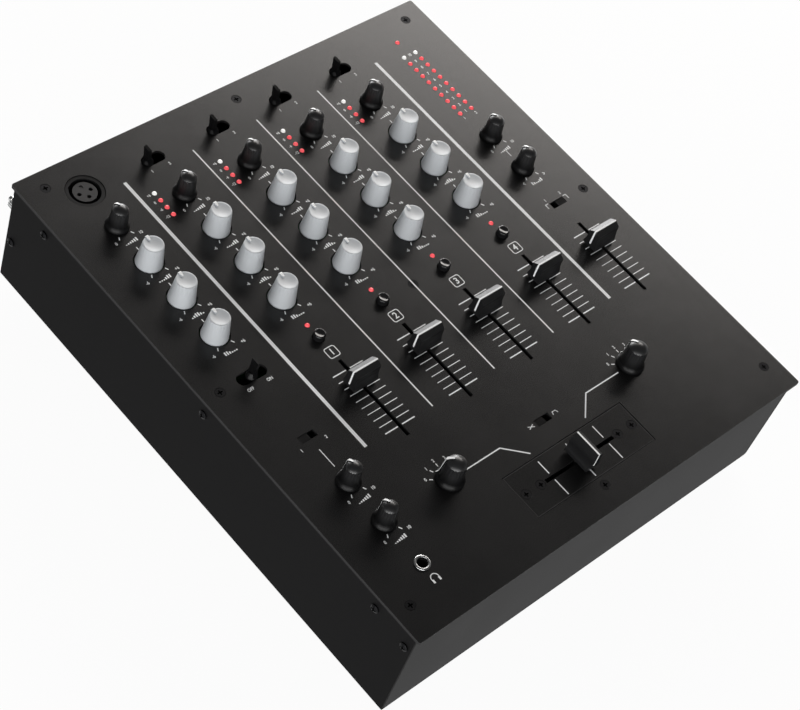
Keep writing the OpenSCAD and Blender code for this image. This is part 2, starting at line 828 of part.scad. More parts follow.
// Housing of a lever switch, hung through the board by its lip
module lever_house() {
    lip_l = lever_house_l + 2 * lever_lip_reach;
    lip_w = lever_house_w + 2 * lever_lip_reach;
    difference() {
        union() {
            block([lever_house_l, lever_house_w, board_top - lever_house_floor], lever_house_floor);
            block([lip_l, lip_w, lever_lip], board_top);
        }
        translate([0, 0, -lever_pivot]) {
            sphere(ball_r + ball_gap);
            rotate([90, 0, 0])
                cylinder(r = lever_pin_r + lever_pin_gap, h = lever_pin_l + 2 * lever_pin_gap, center = true);
        }
        block([lever_house_l - 2 * lever_house_wall, 2 * (ball_r + ball_gap), lever_pivot], -lever_pivot);
    }
}

// Housing of a slide switch on the board, open at the top
module slide_house() {
    slot_l = slide_base_l + slide_travel + 2 * hole_gap;
    slot_w = slide_base_w + 2 * hole_gap;
    slot_floor = slide_base_top - slide_base_h - hole_gap;
    difference() {
        block([slide_house_l, slide_house_w, slide_house_top - board_top], board_top);
        block([slot_l, slot_w, -slot_floor], slot_floor);
    }
}

// Housing of a cue button's switch on the board, bored for the button's stem
module button_house() {
    bore_floor = button_flange_top - button_flange_h - button_stem_l - button_travel - hole_gap;
    difference() {
        block([button_house_w, button_house_w, button_house_top - board_top], board_top);
        translate([0, 0, bore_floor]) cylinder(r = button_stem_r + hole_gap, h = board_drop);
    }
}

module pots_and_switches() {
    color("#4b4f55") on_panel() {
        at_each(concat(small_knobs, tone_knobs)) pot_body(pot_w);
        at_each(assign_knobs) pot_body(rotary_w);
        at_each(concat(input_levers, [[column(0), middle_y]])) lever_house();
        at_each(slide_switches) slide_house();
        at_each(cue_buttons) button_house();
    }
}

// Track of a fader along Y with its underside at z = 0
module fader_track(travel) {
    cavity_l = travel + carriage_l + 2 * stop_gap;
    cavity_h = track_h - track_floor - track_roof;
    difference() {
        block([track_w, cavity_l + 2 * track_end, track_h], 0);
        block([track_cavity_w, cavity_l, cavity_h], track_floor);
        block([fader_slot_w, cavity_l, track_h], track_floor);
        for (s = [-1, 1])
            translate([0, s * (cavity_l + track_end) / 2, track_h - screw_l])
                cylinder(r = screw_hole_r, h = screw_l + cut);
    }
}

module fader_tracks() {
    color("#8d9196") on_panel() {
        for (k = fader_columns) translate([column(k), fader_mid_y, board_top]) fader_track(fader_travel);
        translate([0, crossfader_y, crossfader_track_z]) rotate(90) fader_track(crossfader_travel);
    }
}

// Section of a fader cap across its ridge, with the finger dips in both faces
module cap_section() {
    shoulder_z = cap_top - cap_roof_h;
    face_y = (cap_d + cap_shoulder_d) / 4;
    face_z = (cap_gap + shoulder_z) / 2;
    face_lean = atan2((cap_d - cap_shoulder_d) / 2, shoulder_z - cap_gap);
    dip_y = face_y + (dip_r - cap_dip) * cos(face_lean);
    dip_z = face_z + (dip_r - cap_dip) * sin(face_lean);
    difference() {
        polygon([
            [-cap_d / 2, cap_gap], [cap_d / 2, cap_gap],
            [cap_shoulder_d / 2, shoulder_z], [cap_ridge_w / 2, cap_top],
            [-cap_ridge_w / 2, cap_top], [-cap_shoulder_d / 2, shoulder_z]
        ]);
        for (s = [-1, 1]) translate([s * dip_y, dip_z]) circle(dip_r);
    }
}

// Fader cap over the lever's axis, hollow on both sides of the lever's socket
module fader_cap() {
    pocket_w = cap_w / 2 - 4.2;
    pocket_x = cap_w / 4 + 0.6;
    pocket_h = cap_h - cap_roof_h - 3;
    difference() {
        rotate([90, 0, 90]) translate([0, 0, -cap_w / 2]) linear_extrude(cap_w) cap_section();
        for (s = [-1, 1])
            translate([s * pocket_x, 0, 0]) block([pocket_w, cap_shoulder_d - 3, pocket_h], cap_gap - cut);
        block([lever_t + 2 * knob_fit, lever_w + 2 * knob_fit, cap_grip + cut], cap_gap - cut);
    }
}

// Cap, lever and carriage of a fader along Y, for a track whose underside is at track_z
module fader(track_z) {
    carriage_z = track_z + track_floor + carriage_gap;
    carriage_h = track_h - track_floor - track_roof - 2 * carriage_gap;
    lever_top = cap_gap + cap_grip - bearing_gap;
    color("#161617") fader_cap();
    color("#a8abae") {
        block([track_cavity_w - 2 * carriage_gap, carriage_l, carriage_h], carriage_z);
        block([lever_t, lever_w, lever_top - carriage_z], carriage_z);
    }
}

module column_fader(k) {
    on_panel() translate([column(k), fader_y, 0]) fader(board_top);
}

module crossfader() {
    on_panel() translate([0, crossfader_y, 0]) rotate(90) fader(crossfader_track_z);
}

// Control shaft with a flat, from the potentiometer to z = top, gap larger all round
module shaft(top, gap) {
    intersection() {
        translate([0, 0, shaft_base]) cylinder(r = shaft_d / 2 + gap, h = top - shaft_base);
        union() {
            block([2 * shaft_d, 2 * shaft_d, gap - shaft_base], shaft_base);
            translate([-shaft_d, -shaft_d, 0]) cube([2 * shaft_d, 1.5 * shaft_d - shaft_flat + gap, top]);
        }
    }
}

// Half section of a large knob, grown by extra outside
module large_section(extra) {
    top_r = knob_top_d / 2 + extra;
    edge_r = 0.7;
    top = knob_h + extra;
    polygon([
        [0, -knob_sink], [knob_d / 2 + extra, -knob_sink],
        [top_r, top - edge_r], [top_r - edge_r, top], [0, top]
    ]);
    translate([top_r - edge_r, top - edge_r]) circle(edge_r);
}

// Half section of a bell-shaped knob, grown by extra outside: a rim, a hollow flare, a neck and a domed crown
module bell_section(rim_d, neck_d, top_d, h, extra) {
    rim_r = rim_d / 2 + extra;
    neck_r = neck_d / 2 + extra;
    top_r = top_d / 2 + extra;
    top = h + extra;
    crown_h = crown_share * top_d;
    crown_z = top - crown_h;
    flare_w = rim_r - neck_r;
    flare_h = neck_rise - bell_gap - rim_h;
    flare_r = (flare_w * flare_w + flare_h * flare_h) / (2 * flare_w);
    edge_r = top_r - crown_land;
    crown_r = (edge_r * edge_r + crown_h * crown_h) / (2 * crown_h);
    taper = (neck_r - top_r) / (crown_z - neck_rise);
    foot_z = bell_gap + rim_h;
    polygon([[0, foot_z], [neck_r + taper * flare_h, foot_z], [top_r, crown_z], [0, crown_z]]);
    difference() {
        translate([0, bell_gap]) square([rim_r, neck_rise - bell_gap - flare_lap]);
        translate([neck_r + flare_r, neck_rise]) circle(flare_r);
    }
    intersection() {
        translate([0, top - crown_r]) circle(crown_r);
        translate([0, crown_z - cut]) square([top_r, crown_h + 2 * cut]);
    }
}

// Flutes that run out towards the base: the tools stand more upright than the knob's side
module flutes(low_r, low_z, high_r, high_z) {
    reach = high_r + 0.62 * flute_r;
    spread = low_r + 1.15 * flute_r - reach;
    rise = high_z - low_z;
    length = sqrt(spread * spread + rise * rise);
    for (i = [0 : flute_count - 1])
        rotate((i + 0.5) * 360 / flute_count)
            translate([reach, 0, high_z])
                rotate([0, 180 - atan2(spread, rise), 0])
                    translate([0, 0, -2]) cylinder(r = flute_r, h = length + 2, $fn = 16);
}

// Wedge along the rear half of a knob, widest at the edge of its top and narrow at both ends
module pointer_wedge(inner, edge_r, low, edge_z, high) {
    tip = pointer_tip_w / 2;
    wide = pointer_w / 2;
    far = assign_knob_d;
    intersection() {
        translate([0, 0, low]) linear_extrude(high - low)
            polygon([
                [-tip, inner], [tip, inner], [wide, edge_r],
                [wide, far], [-wide, far], [-wide, edge_r]
            ]);
        rotate([90, 0, 0]) translate([0, 0, -far]) linear_extrude(far)
            polygon([
                [-tip, low], [tip, low], [wide, edge_z],
                [wide, high], [-wide, high], [-wide, edge_z]
            ]);
    }
}

module large_knob() {
    hollow_top = knob_h - 5;
    shaft_top = knob_h - shaft_drop;
    pointer_l = 3.2;
    pointer_h = 2.6;
    pointer_edge = 0.9;
    dish_r = (pow(knob_top_d / 2 - 1, 2) + knob_dish * knob_dish) / (2 * knob_dish);
    difference() {
        union() {
            difference() {
                rotate_extrude() intersection() {
                    large_section(0);
                    translate([0, -knob_sink]) square([knob_d, 2 * knob_h]);
                }
                flutes(knob_d / 2, 0, knob_top_d / 2, knob_h);
                translate([0, 0, knob_h - knob_dish + dish_r]) sphere(dish_r, $fn = 96);
            }
            intersection() {
                rotate_extrude() intersection() {
                    large_section(pointer_rise);
                    translate([0, -knob_sink]) square([knob_d, 2 * knob_h]);
                }
                pointer_wedge(knob_top_d / 2 - pointer_l, knob_top_d / 2 - pointer_edge,
                    knob_h - pointer_h, knob_h - pointer_edge, knob_h + pointer_rise + cut);
            }
        }
        rotate_extrude() polygon([
            [boss_r, -knob_sink - cut], [knob_d / 2 - knob_wall, -knob_sink - cut],
            [knob_top_d / 2 - knob_wall, hollow_top], [boss_r, hollow_top]
        ]);
        shaft(shaft_top, knob_fit);
    }
    shaft(shaft_top - knob_fit, 0);
}

// Bell-shaped knob: its pointer runs from the crown down the rear side to pointer_low
module bell_knob(rim_d, neck_d, top_d, h, pointer_low) {
    hollow_top = 5;
    shaft_top = h - shaft_drop;
    crown_z = h - crown_share * top_d;
    pointer_start = top_d / 6;
    difference() {
        union() {
            difference() {
                rotate_extrude() bell_section(rim_d, neck_d, top_d, h, 0);
                flutes(neck_d / 2, neck_rise, top_d / 2, crown_z);
            }
            intersection() {
                rotate_extrude() bell_section(rim_d, neck_d, top_d, h, pointer_rise);
                pointer_wedge(pointer_start, top_d / 2, pointer_low, crown_z, h + pointer_rise + cut);
            }
        }
        rotate_extrude() polygon([
            [boss_r, bell_gap - cut], [rim_d / 2 - knob_wall, bell_gap - cut],
            [neck_d / 2 - 0.8 * knob_wall, hollow_top], [boss_r, hollow_top]
        ]);
        shaft(shaft_top, knob_fit);
    }
    shaft(shaft_top - knob_fit, 0);
}

module tone_knob(k, r) {
    color("#c6c9cb") on_panel() translate([column(k), row(r), 0]) large_knob();
}

module assign_knob(k, turn) {
    color("#161617") on_panel() translate([column(k), lower_y, 0]) rotate(turn)
        bell_knob(assign_knob_d, assign_neck_d, assign_top_d, assign_knob_h, 0.08 * assign_knob_h);
}

module black_knob(x, y) {
    color("#161617") on_panel() translate([x, y, 0])
        bell_knob(small_knob_d, small_neck_d, small_top_d, small_knob_h, 0.14 * small_knob_h);
}

// Lever about its pivot: a ball on a pin, a stem, a round base at the panel and a flat tapered blade
module lever() {
    tip = lever_pivot + lever_h;
    base_low = lever_pivot - lever_cone_h - lever_collar_h;
    blade_low = lever_pivot + blade_low_rise;
    waist = lever_pivot + lever_waist_rise;
    color("#161617") {
        sphere(ball_r);
        rotate([90, 0, 0]) cylinder(r = lever_pin_r, h = lever_pin_l, center = true);
        cylinder(r = stem_r, h = base_low + lever_cone_h / 2);
        translate([0, 0, base_low])
            cylinder(r1 = stem_r + lever_stem_flare, r2 = lever_base_d / 2, h = lever_cone_h);
        translate([0, 0, base_low + lever_cone_h]) cylinder(d = lever_base_d, h = lever_collar_h);
        translate([0, 0, lever_pivot]) cylinder(r1 = lever_base_d / 2, r2 = lever_neck_r, h = lever_neck_h);
        intersection() {
            rotate([90, 0, 0]) translate([0, 0, -lever_base_d]) linear_extrude(2 * lever_base_d)
                polygon([
                    [-blade_low_t / 2, blade_low], [blade_low_t / 2, blade_low], [waist_t / 2, waist],
                    [blade_t / 2, tip], [-blade_t / 2, tip], [-waist_t / 2, waist]
                ]);
            rotate([90, 0, 90]) translate([0, 0, -lever_base_d]) linear_extrude(2 * lever_base_d)
                polygon([
                    [-blade_low_w / 2, blade_low], [blade_low_w / 2, blade_low], [waist_w / 2, waist],
                    [blade_w / 2, tip], [-blade_w / 2, tip], [-waist_w / 2, waist]
                ]);
        }
    }
}

module input_lever(k) {
    on_panel() translate([column(k), socket_y, -lever_pivot]) rotate([0, -input_lean, 0]) lever();
}

module mic_lever() {
    on_panel() translate([column(0), middle_y, -lever_pivot]) lever();
}

// Slide-switch grip at one end of its travel: side is -1 for the left end and 1 for the right
module slide_switch(place, side) {
    grip_top = -slide_sink;
    rib_pitch = 1.1;
    color("#1a1a1b") on_panel() translate([place[0] + side * slide_travel / 2, place[1], 0]) {
        difference() {
            block([grip_l, grip_w, grip_top - slide_base_top], slide_base_top);
            for (i = [-2 : 2]) translate([i * rib_pitch, 0, 0]) block([0.5, grip_w + cut, 1], grip_top - 0.5);
        }
        block([slide_base_l, slide_base_w, slide_base_h], slide_base_top - slide_base_h);
    }
}

// Cue button with a dished top, a flange under the panel and a stem
module cue_button(k) {
    r = button_d / 2;
    stem_top = button_flange_top - button_flange_h;
    rim_r = r - button_edge_r;
    dish_r = (rim_r * rim_r + button_dish * button_dish) / (2 * button_dish);
    color("#161617") on_panel() translate([column(k), middle_y, 0]) {
        rotate_extrude() difference() {
            union() {
                polygon([
                    [0, stem_top], [button_flange_r, stem_top],
                    [button_flange_r, button_flange_top], [r, button_flange_top],
                    [r, button_h - button_edge_r], [rim_r, button_h], [0, button_h]
                ]);
                translate([rim_r, button_h - button_edge_r]) circle(button_edge_r);
            }
            translate([0, button_h - button_dish + dish_r]) circle(dish_r);
        }
        translate([0, 0, stem_top - button_stem_l])
            cylinder(r = button_stem_r, h = button_stem_l + bearing_gap);
    }
}

// Indicator lens on a spacer that stands on the board
module light() {
    translate([0, 0, board_top]) cylinder(r = spacer_r, h = board_drop - panel_t - spacer_drop);
    translate([0, 0, board_top]) cylinder(d = lens_d, h = board_drop + lens_rise - lens_d / 2);
    translate([0, 0, lens_rise - lens_d / 2]) sphere(d = lens_d);
}

module indicator_lights() {
    color("#d8383f") on_panel() at_each(lights) light();
}

// Microphone socket: a shell with a ring groove for the plug and a core with three contact holes
module mic_socket() {
    shell_top = -0.4;
    core_top = -1;
    groove_floor = -16;
    contact_r = 1.3;
    contact_x = 4.1;
    dimple = 0.5;
    key = [1.8, 2.2];
    color("#1b1b1c") on_panel() translate([column(0), socket_y, 0]) difference() {
        rotate_extrude() polygon([
            [0, -mic_depth], [mic_d / 2, -mic_depth], [mic_d / 2, -panel_t - mic_flange_t],
            [mic_flange_r, -panel_t - mic_flange_t], [mic_flange_r, -panel_t], [mic_d / 2, -panel_t],
            [mic_d / 2, shell_top], [mic_groove_d / 2, shell_top], [mic_groove_d / 2, groove_floor],
            [mic_core_d / 2, groove_floor], [mic_core_d / 2, core_top], [0, core_top]
        ]);
        for (p = [[-contact_x, 0], [contact_x, 0], [0, -contact_x]])
            translate([p[0], p[1], groove_floor]) cylinder(r = contact_r, h = -groove_floor);
        translate([0, contact_x, core_top - dimple]) cylinder(r = contact_r, h = dimple + cut);
        rotate(135) translate([(mic_groove_d - 1) / 2, 0, 0])
            block([key[0], key[1], -groove_floor], groove_floor);
    }
}

module headphone_jack() {
    bushing_rise = 0.7;
    nut_h = 0.9;
    nut_round = (jack_nut_d / 2 - jack_bushing_r - bearing_gap) / 2;
    nut_r = jack_nut_d / 2 - nut_round;
    body_h = jack_depth + 3;
    on_panel() translate([column(0), crossfader_y, 0]) {
        color("#1b1b1c") difference() {
            union() {
                block([jack_body[0], jack_body[1], body_h - panel_t], -body_h);
                translate([0, 0, -panel_t - 1]) cylinder(r = jack_bushing_r, h = panel_t + 1 + bushing_rise);
            }
            translate([0, 0, bushing_rise - jack_depth]) cylinder(d = jack_d, h = jack_depth + cut);
        }
        color("#c9ccce") rotate_extrude() translate([nut_r, 0]) {
            translate([-nut_round, 0]) square([2 * nut_round, nut_h - nut_round]);
            translate([0, nut_h - nut_round]) circle(nut_round);
        }
    }
}

// Block of four phono jacks: a housing behind the sheet with four round bosses through it
module phono_block() {
    translate([0, 0, -sheet_t - phono_block_d])
        linear_extrude(phono_block_d) square([phono_block_w, phono_block_h], center = true);
    for (c = [-1, 1], r = [-1, 1])
        translate([c * phono_pitch / 2, r * phono_row_pitch / 2, -sheet_t - 1])
            cylinder(r = phono_boss_r, h = sheet_t + 1 + phono_boss_rise);
}

module phono_sleeve() {
    translate([0, 0, phono_boss_rise + bearing_gap]) difference() {
        cylinder(d = phono_d, h = phono_l);
        translate([0, 0, 1]) cylinder(r = 1.7, h = phono_l);
    }
}

// Balanced output socket: flange, barrel and three pins
module output_socket() {
    cavity_floor = output_flange[2] - output_cavity_d;
    difference() {
        union() {
            linear_extrude(output_flange[2]) rounded_rect(output_flange[0], output_flange[1], 2);
            translate([0, 0, -20]) cylinder(r = output_barrel_r, h = 21);
        }
        translate([0, 0, cavity_floor]) cylinder(r = output_cavity_r, h = output_cavity_d + cut);
    }
    for (a = [90, 210, 330])
        rotate(a) translate([4.2, 0, cavity_floor + bearing_gap]) cylinder(r = 1.2, h = output_cavity_d - 3);
}

// Data socket: a metal shell with a square mouth and a tongue
module usb_socket() {
    tongue = [5.6, 3.2];
    rise = 0.8;
    translate([0, 0, rise]) difference() {
        translate([0, 0, -usb_size[1]])
            linear_extrude(usb_size[1]) square([usb_size[0], usb_size[2]], center = true);
        translate([0, 0, -usb_mouth[1]]) linear_extrude(usb_mouth[1] + cut) difference() {
            square([usb_mouth[0], usb_mouth[2]], center = true);
            square(tongue, center = true);
        }
    }
}

// Outline of the mains inlet's mouth, with its two upper corners cut off
module inlet_outline() {
    w = inlet_mouth[0] / 2;
    h = inlet_mouth[2] / 2;
    polygon([
        [-w, -h], [w, -h], [w, h - inlet_chamfer], [w - inlet_chamfer, h],
        [inlet_chamfer - w, h], [-w, h - inlet_chamfer]
    ]);
}

module mains_inlet() {
    flange_t = 2;
    mouth_floor = flange_t - inlet_mouth[1];
    difference() {
        union() {
            linear_extrude(flange_t) rounded_rect(inlet_flange[0], inlet_flange[1], 2);
            translate([0, 0, -inlet_body[1]])
                linear_extrude(inlet_body[1] + 1) square([inlet_body[0], inlet_body[2]], center = true);
        }
        translate([0, 0, mouth_floor]) linear_extrude(inlet_mouth[1] + cut) inlet_outline();
    }
    for (p = [[-7, -3], [7, -3], [0, 2]])
        translate([p[0], p[1], 0]) block([2, 4, inlet_mouth[1] - 3], mouth_floor + bearing_gap);
}

// Frame of the power rocker: a bezel and a body with a well and two pin sockets
module rocker_housing() {
    well = [rocker_size[0] + 2 * rocker_gap, rocker_size[1] + 2 * rocker_gap + 0.6];
    difference() {
        union() {
            linear_extrude(bezel_t) rounded_rect(rocker_frame[0], rocker_frame[1], 1);
            translate([0, 0, -rocker_body[1]])
                linear_extrude(rocker_body[1] + 1) square([rocker_body[0], rocker_body[2]], center = true);
        }
        translate([0, 0, -9]) linear_extrude(9 + bezel_t + cut) square(well, center = true);
        translate([0, 0, rocker_pivot_y]) rotate([0, 90, 0])
            cylinder(r = rocker_pin_r + 0.25, h = rocker_size[0] + 2.2, center = true);
    }
}

module ground_post() {
    nut_l = post_reach - 4;
    difference() {
        union() {
            translate([0, 0, -6]) cylinder(r = stud_r, h = post_reach + 6);
            cylinder(r = post_nut_d / 2 + 0.6, h = 1.2);
            translate([0, 0, -sheet_t - 2.6]) cylinder(r = 3.6, h = 2.6, $fn = 6);
        }
        translate([0, 0, post_reach - 0.6]) block([2 * stud_r + 1, 0.8, cut], 0);
    }
    translate([0, 0, 1.2 + bearing_gap]) difference() {
        cylinder(d = post_nut_d, h = nut_l);
        translate([0, 0, -cut]) cylinder(r = stud_r + bearing_gap, h = nut_l + 2 * cut);
        for (i = [0 : 17])
            rotate(i * 20) translate([post_nut_d / 2 + 0.25, 0, 1]) cylinder(r = 0.6, h = nut_l, $fn = 16);
    }
}

module rear_connectors() {
    jack_board_w = phono_right - phono_left;
    on_panel() {
        color("#2a2a2c") for (b = [0 : 4])
            on_rear(first_block_x + b * phono_block_pitch, connector_z) phono_block();
        color("#c9ccce") at_phono_jacks() phono_sleeve();
        color("#1b1b1c") for (x = output_x) on_rear(x, connector_z) output_socket();
        color("#b9bcbf") on_rear(usb_x, connector_z) usb_socket();
        color("#1b1b1c") on_rear(inlet_x, connector_z) mains_inlet();
        color("#1b1b1c") on_rear(rocker_x, connector_z) rocker_housing();
        color("#c9ccce") on_rear(post_x, -post_drop) ground_post();
        color("#1f5a34") on_rear((phono_left + phono_right) / 2, connector_z)
            translate([0, 0, -sheet_t - phono_block_d - board_t - bearing_gap])
                linear_extrude(board_t) square([jack_board_w, phono_block_h + 4], center = true);
    }
}

// Power supply on the tray's floor: a board on posts with a transformer and smoothing capacitors
module power_supply() {
    board_z = floor_z + supply_post_h;
    part_z = board_z + board_t + bearing_gap;
    post_x = supply_size[0] / 2 - supply_post_inset;
    post_y = supply_size[1] / 2 - supply_post_inset;
    on_panel() translate([supply_x, supply_y, 0]) {
        color("#1f5a34") block([supply_size[0], supply_size[1], board_t], board_z);
        color("#c9ccce") for (x = [-1, 1], y = [-1, 1])
            translate([x * post_x, y * post_y, floor_z])
                cylinder(r = supply_post_r, h = supply_post_h + bearing_gap);
        color("#55585c") translate([transformer_x, 0, 0]) {
            block(core_size, part_z);
            block(coil_size, part_z + coil_rise);
        }
        color("#20304a") for (i = [-1, 0, 1])
            translate([capacitor_x, i * capacitor_pitch, part_z]) cylinder(r = capacitor_r, h = capacitor_h);
    }
}

// Rocker about its pin at one end of its tilt, upper half pressed in
module power_rocker() {
    half = rocker_size[1] / 2;
    end_rise = 2.8;
    middle_rise = 1.4;
    color("#1a1a1b") on_panel() on_rear(rocker_x, connector_z)
        translate([0, 0, rocker_pivot_y]) rotate([-rocker_lean, 0, 0]) translate([0, 0, -rocker_pivot_y]) {
            rotate([90, 0, 90]) translate([0, 0, -rocker_size[0] / 2]) linear_extrude(rocker_size[0])
                polygon([
                    [-half, end_rise], [-half, -0.6], [-3, -4.6], [3, -4.6],
                    [half, -0.6], [half, end_rise], [0, middle_rise]
                ]);
            translate([0, 0, rocker_pivot_y]) rotate([0, 90, 0])
                cylinder(r = rocker_pin_r, h = rocker_size[0] + 1.6, center = true);
        }
}

top_panel();
bottom_tray();
front_panel();
rear_panel();
crossfader_plate();
screws();
feet();
control_board();
pots_and_switches();
fader_tracks();
indicator_lights();
mic_socket();
headphone_jack();
rear_connectors();
power_supply();
black_knob(column(0), row(0));  // mic_gain_knob
black_knob(column(5), row(2));  // booth_knob
black_knob(column(5), row(3));  // balance_knob
black_knob(column(0), lower_y + row_pitch);  // cue_mix_knob
black_knob(column(0), lower_y);  // cue_gain_knob
for (r = [1 : 3]) {
    tone_knob(0, r);
    for (k = CHANNELS) tone_knob(k, r);
}
assign_knob(1, assign_left_turn);  // assign_knob_left
assign_knob(4, 0);  // assign_knob_right
for (k = CHANNELS) {
    black_knob(column(k), row(0));
    column_fader(k);
    input_lever(k);
    cue_button(k);
}
column_fader(5);  // master_fader
crossfader();
mic_lever();
slide_switch(slide_switches[0], -1);  // cue_mode_switch
slide_switch(slide_switches[1], 1);  // stereo_switch
slide_switch(slide_switches[2], -1);  // slope_switch
power_rocker();
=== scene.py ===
"""Finishes, printed markings, inlays and studio for a four-channel tabletop mixer."""
import json
import math

import bpy
from mathutils import Matrix, Vector


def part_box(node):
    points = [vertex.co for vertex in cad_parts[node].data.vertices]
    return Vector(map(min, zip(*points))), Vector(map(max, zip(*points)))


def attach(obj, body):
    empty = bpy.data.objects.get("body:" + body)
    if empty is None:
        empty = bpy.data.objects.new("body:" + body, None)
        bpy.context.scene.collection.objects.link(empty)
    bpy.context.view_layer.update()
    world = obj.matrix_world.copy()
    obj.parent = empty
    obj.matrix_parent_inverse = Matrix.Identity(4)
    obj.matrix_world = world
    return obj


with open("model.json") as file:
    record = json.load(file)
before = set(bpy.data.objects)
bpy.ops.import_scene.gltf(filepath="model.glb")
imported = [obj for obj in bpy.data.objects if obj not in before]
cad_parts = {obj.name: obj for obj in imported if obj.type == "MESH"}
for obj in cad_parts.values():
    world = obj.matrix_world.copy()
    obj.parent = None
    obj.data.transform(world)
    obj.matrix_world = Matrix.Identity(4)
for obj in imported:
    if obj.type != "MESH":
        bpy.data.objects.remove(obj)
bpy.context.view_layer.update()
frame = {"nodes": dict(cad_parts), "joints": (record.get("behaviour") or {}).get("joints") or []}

bl_info = {
    "name": "Four-channel mixer dresser",
    "version": (1, 0, 0),
    "blender": (4, 5, 0),
    "location": "View3D > Sidebar > Mixer",
    "description": "Gives the mixer its finishes, printed markings, inlays and studio",
    "category": "Object",
}

MM = 0.001
PANEL_LOW, PANEL_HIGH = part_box("top_panel")
PANEL_TOP = PANEL_HIGH.z
PANEL_Y = (PANEL_LOW.y + PANEL_HIGH.y) / 2
PLATE_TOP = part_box("crossfader_plate")[1].z
REAR_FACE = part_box("rear_panel")[1].y
JOINT_OF = {joint["child"]: joint for joint in frame["joints"]}

# Layout of the panel, in millimetres from the middle of its top face
COLUMN_PITCH = 50.2
ROW_PITCH = 30.1
GAIN_Y = 124.7
SOCKET_Y = 155.0
STEREO_Y = 1.4
LOWER_Y = -112.5
JACK_Y = -144.0
FADER_TOP_Y = -24.7
FADER_BOTTOM_Y = -70.1
DIVIDER_REAR_Y = 148.5
DIVIDER_FRONT_Y = -70.5
THICK_DIVIDERS_X = (-101.7, 100.3)
THIN_DIVIDERS_X = (-50.0, 0.2, 50.3)
CROSSFADER_MARKS_X = (-22.8, 0.0, 22.8)
CROSSFADER_MARKS_Y = ((-131.8, -141.2), (-146.0, -157.5))
CHANNEL_BOX_Y = -10.7
CHANNEL_LAMP_Y = 133.3
METER_LAMP_Y = 142.8
LAMP_PITCH = 6.05
HEADPHONE_SIGN_Y = -154.6

# The clear lenses lie behind the first line and between the other two
CLEAR_CHANNEL_Y = 130.5
CLEAR_METER_Y = (140.0, 146.0)

# Rear sockets in metres: ranges of X, and steps of depth counted outwards from the rear sheet
JACKS_X = (-0.140, 0.0325)
POST_X = -0.1405
DATA_X = (0.0915, 0.1045)
BOSS_DEPTH = (-0.0011, 0.00083)
BOARD_DEPTH = -0.0131
JACK_ROWS_DROP = 0.048

# Knobs in degrees and millimetres
END_TURNS = (-150, 150)
TONE_TURNS = (-150, 0, 150)
ASSIGN_TURNS = (-60, -30, 0, 30, 60)
LEVEL_TICKS_R = 9.6
TONE_TICKS_R = 10.9
ASSIGN_TICKS_R = 11.0
ASSIGN_NUMBERS_R = 14.2
# Height over the panel over which the knobs' coat and their painted shade fade out
KNOB_FADE = 10.0

# Width in millimetres of the painted highlight along the panel's and the plate's rims
HIGHLIGHT_RIM = 0.5
EDGE_SKIN = 0.12
SOCKET_CORE_R = 9.4
NUT_DEPTH = 0.5
FADER_MARKS = 10
CHANNELS = (1, 2, 3, 4)
TONES = ("treble", "mid", "bass")
INK_THICK = 0.03
INK_STEP = 0.004
INLAY_WHITE = (0.95, 0.96, 0.96)


def column(k):
    """X of a column of controls: 0 is the microphone's, 1 to 4 the channels' and 5 the master's."""
    return (k - 2.5) * COLUMN_PITCH


def row(r):
    """Y of a row of knobs: 0 is the gain row and 1 to 3 are the tone rows."""
    return GAIN_Y - r * ROW_PITCH


def on_panel(x, y, z=0.0):
    """A point given in millimetres from the middle of the panel's top face, in the part's frame."""
    return Vector((x * MM, PANEL_Y + y * MM, PANEL_TOP + z * MM))


def deselect():
    """Clears the selection, so that an operator acts only on what is picked next."""
    bpy.ops.object.select_all(action="DESELECT")


def pick(*objects):
    """Selects only these objects and makes the first one active."""
    deselect()
    for obj in objects:
        obj.select_set(True)
    bpy.context.view_layer.objects.active = objects[0]


def settle(obj):
    """Puts an object's place into its mesh, so that it sits at the origin, unturned and unscaled."""
    pick(obj)
    bpy.ops.object.transform_apply(location=True, rotation=True, scale=True)


def joined(name, parts):
    """Joins parts into one piece of that name, at the origin."""
    pick(*parts)
    if len(parts) > 1:
        bpy.ops.object.join()
    piece = bpy.context.object
    piece.name = name
    piece.data.name = name
    settle(piece)
    return piece


def copied(model, location, turn=0.0, scale=(1, 1, 1)):
    """A copy of a modelled piece with its own mesh, moved and turned about Z."""
    piece = model.copy()
    piece.data = model.data.copy()
    bpy.context.collection.objects.link(piece)
    piece.location = location
    piece.rotation_euler = (0, 0, turn)
    piece.scale = scale
    return piece


def discard(obj):
    """Removes a model that was only needed for its copies."""
    mesh = obj.data
    bpy.data.objects.remove(obj)
    bpy.data.meshes.remove(mesh)


def recalculated(obj):
    """Merges doubles and turns the faces outwards."""
    pick(obj)
    bpy.ops.object.mode_set(mode="EDIT")
    bpy.ops.mesh.select_all(action="SELECT")
    bpy.ops.mesh.remove_doubles(threshold=1e-7)
    bpy.ops.mesh.normals_make_consistent(inside=False)
    bpy.ops.object.mode_set(mode="OBJECT")
    return obj


def applied(obj, kind, **settings):
    """Adds a modifier with these settings and applies it."""
    pick(obj)
    modifier = obj.modifiers.new(kind.title(), kind)
    for key, value in settings.items():
        setattr(modifier, key, value)
    bpy.ops.object.modifier_apply(modifier=modifier.name)
    return obj


def worn(obj, body, material):
    """Gives a new piece its material and the body that it rides on."""
    obj.data.materials.clear()
    obj.data.materials.append(material)
    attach(obj, body)
    return obj


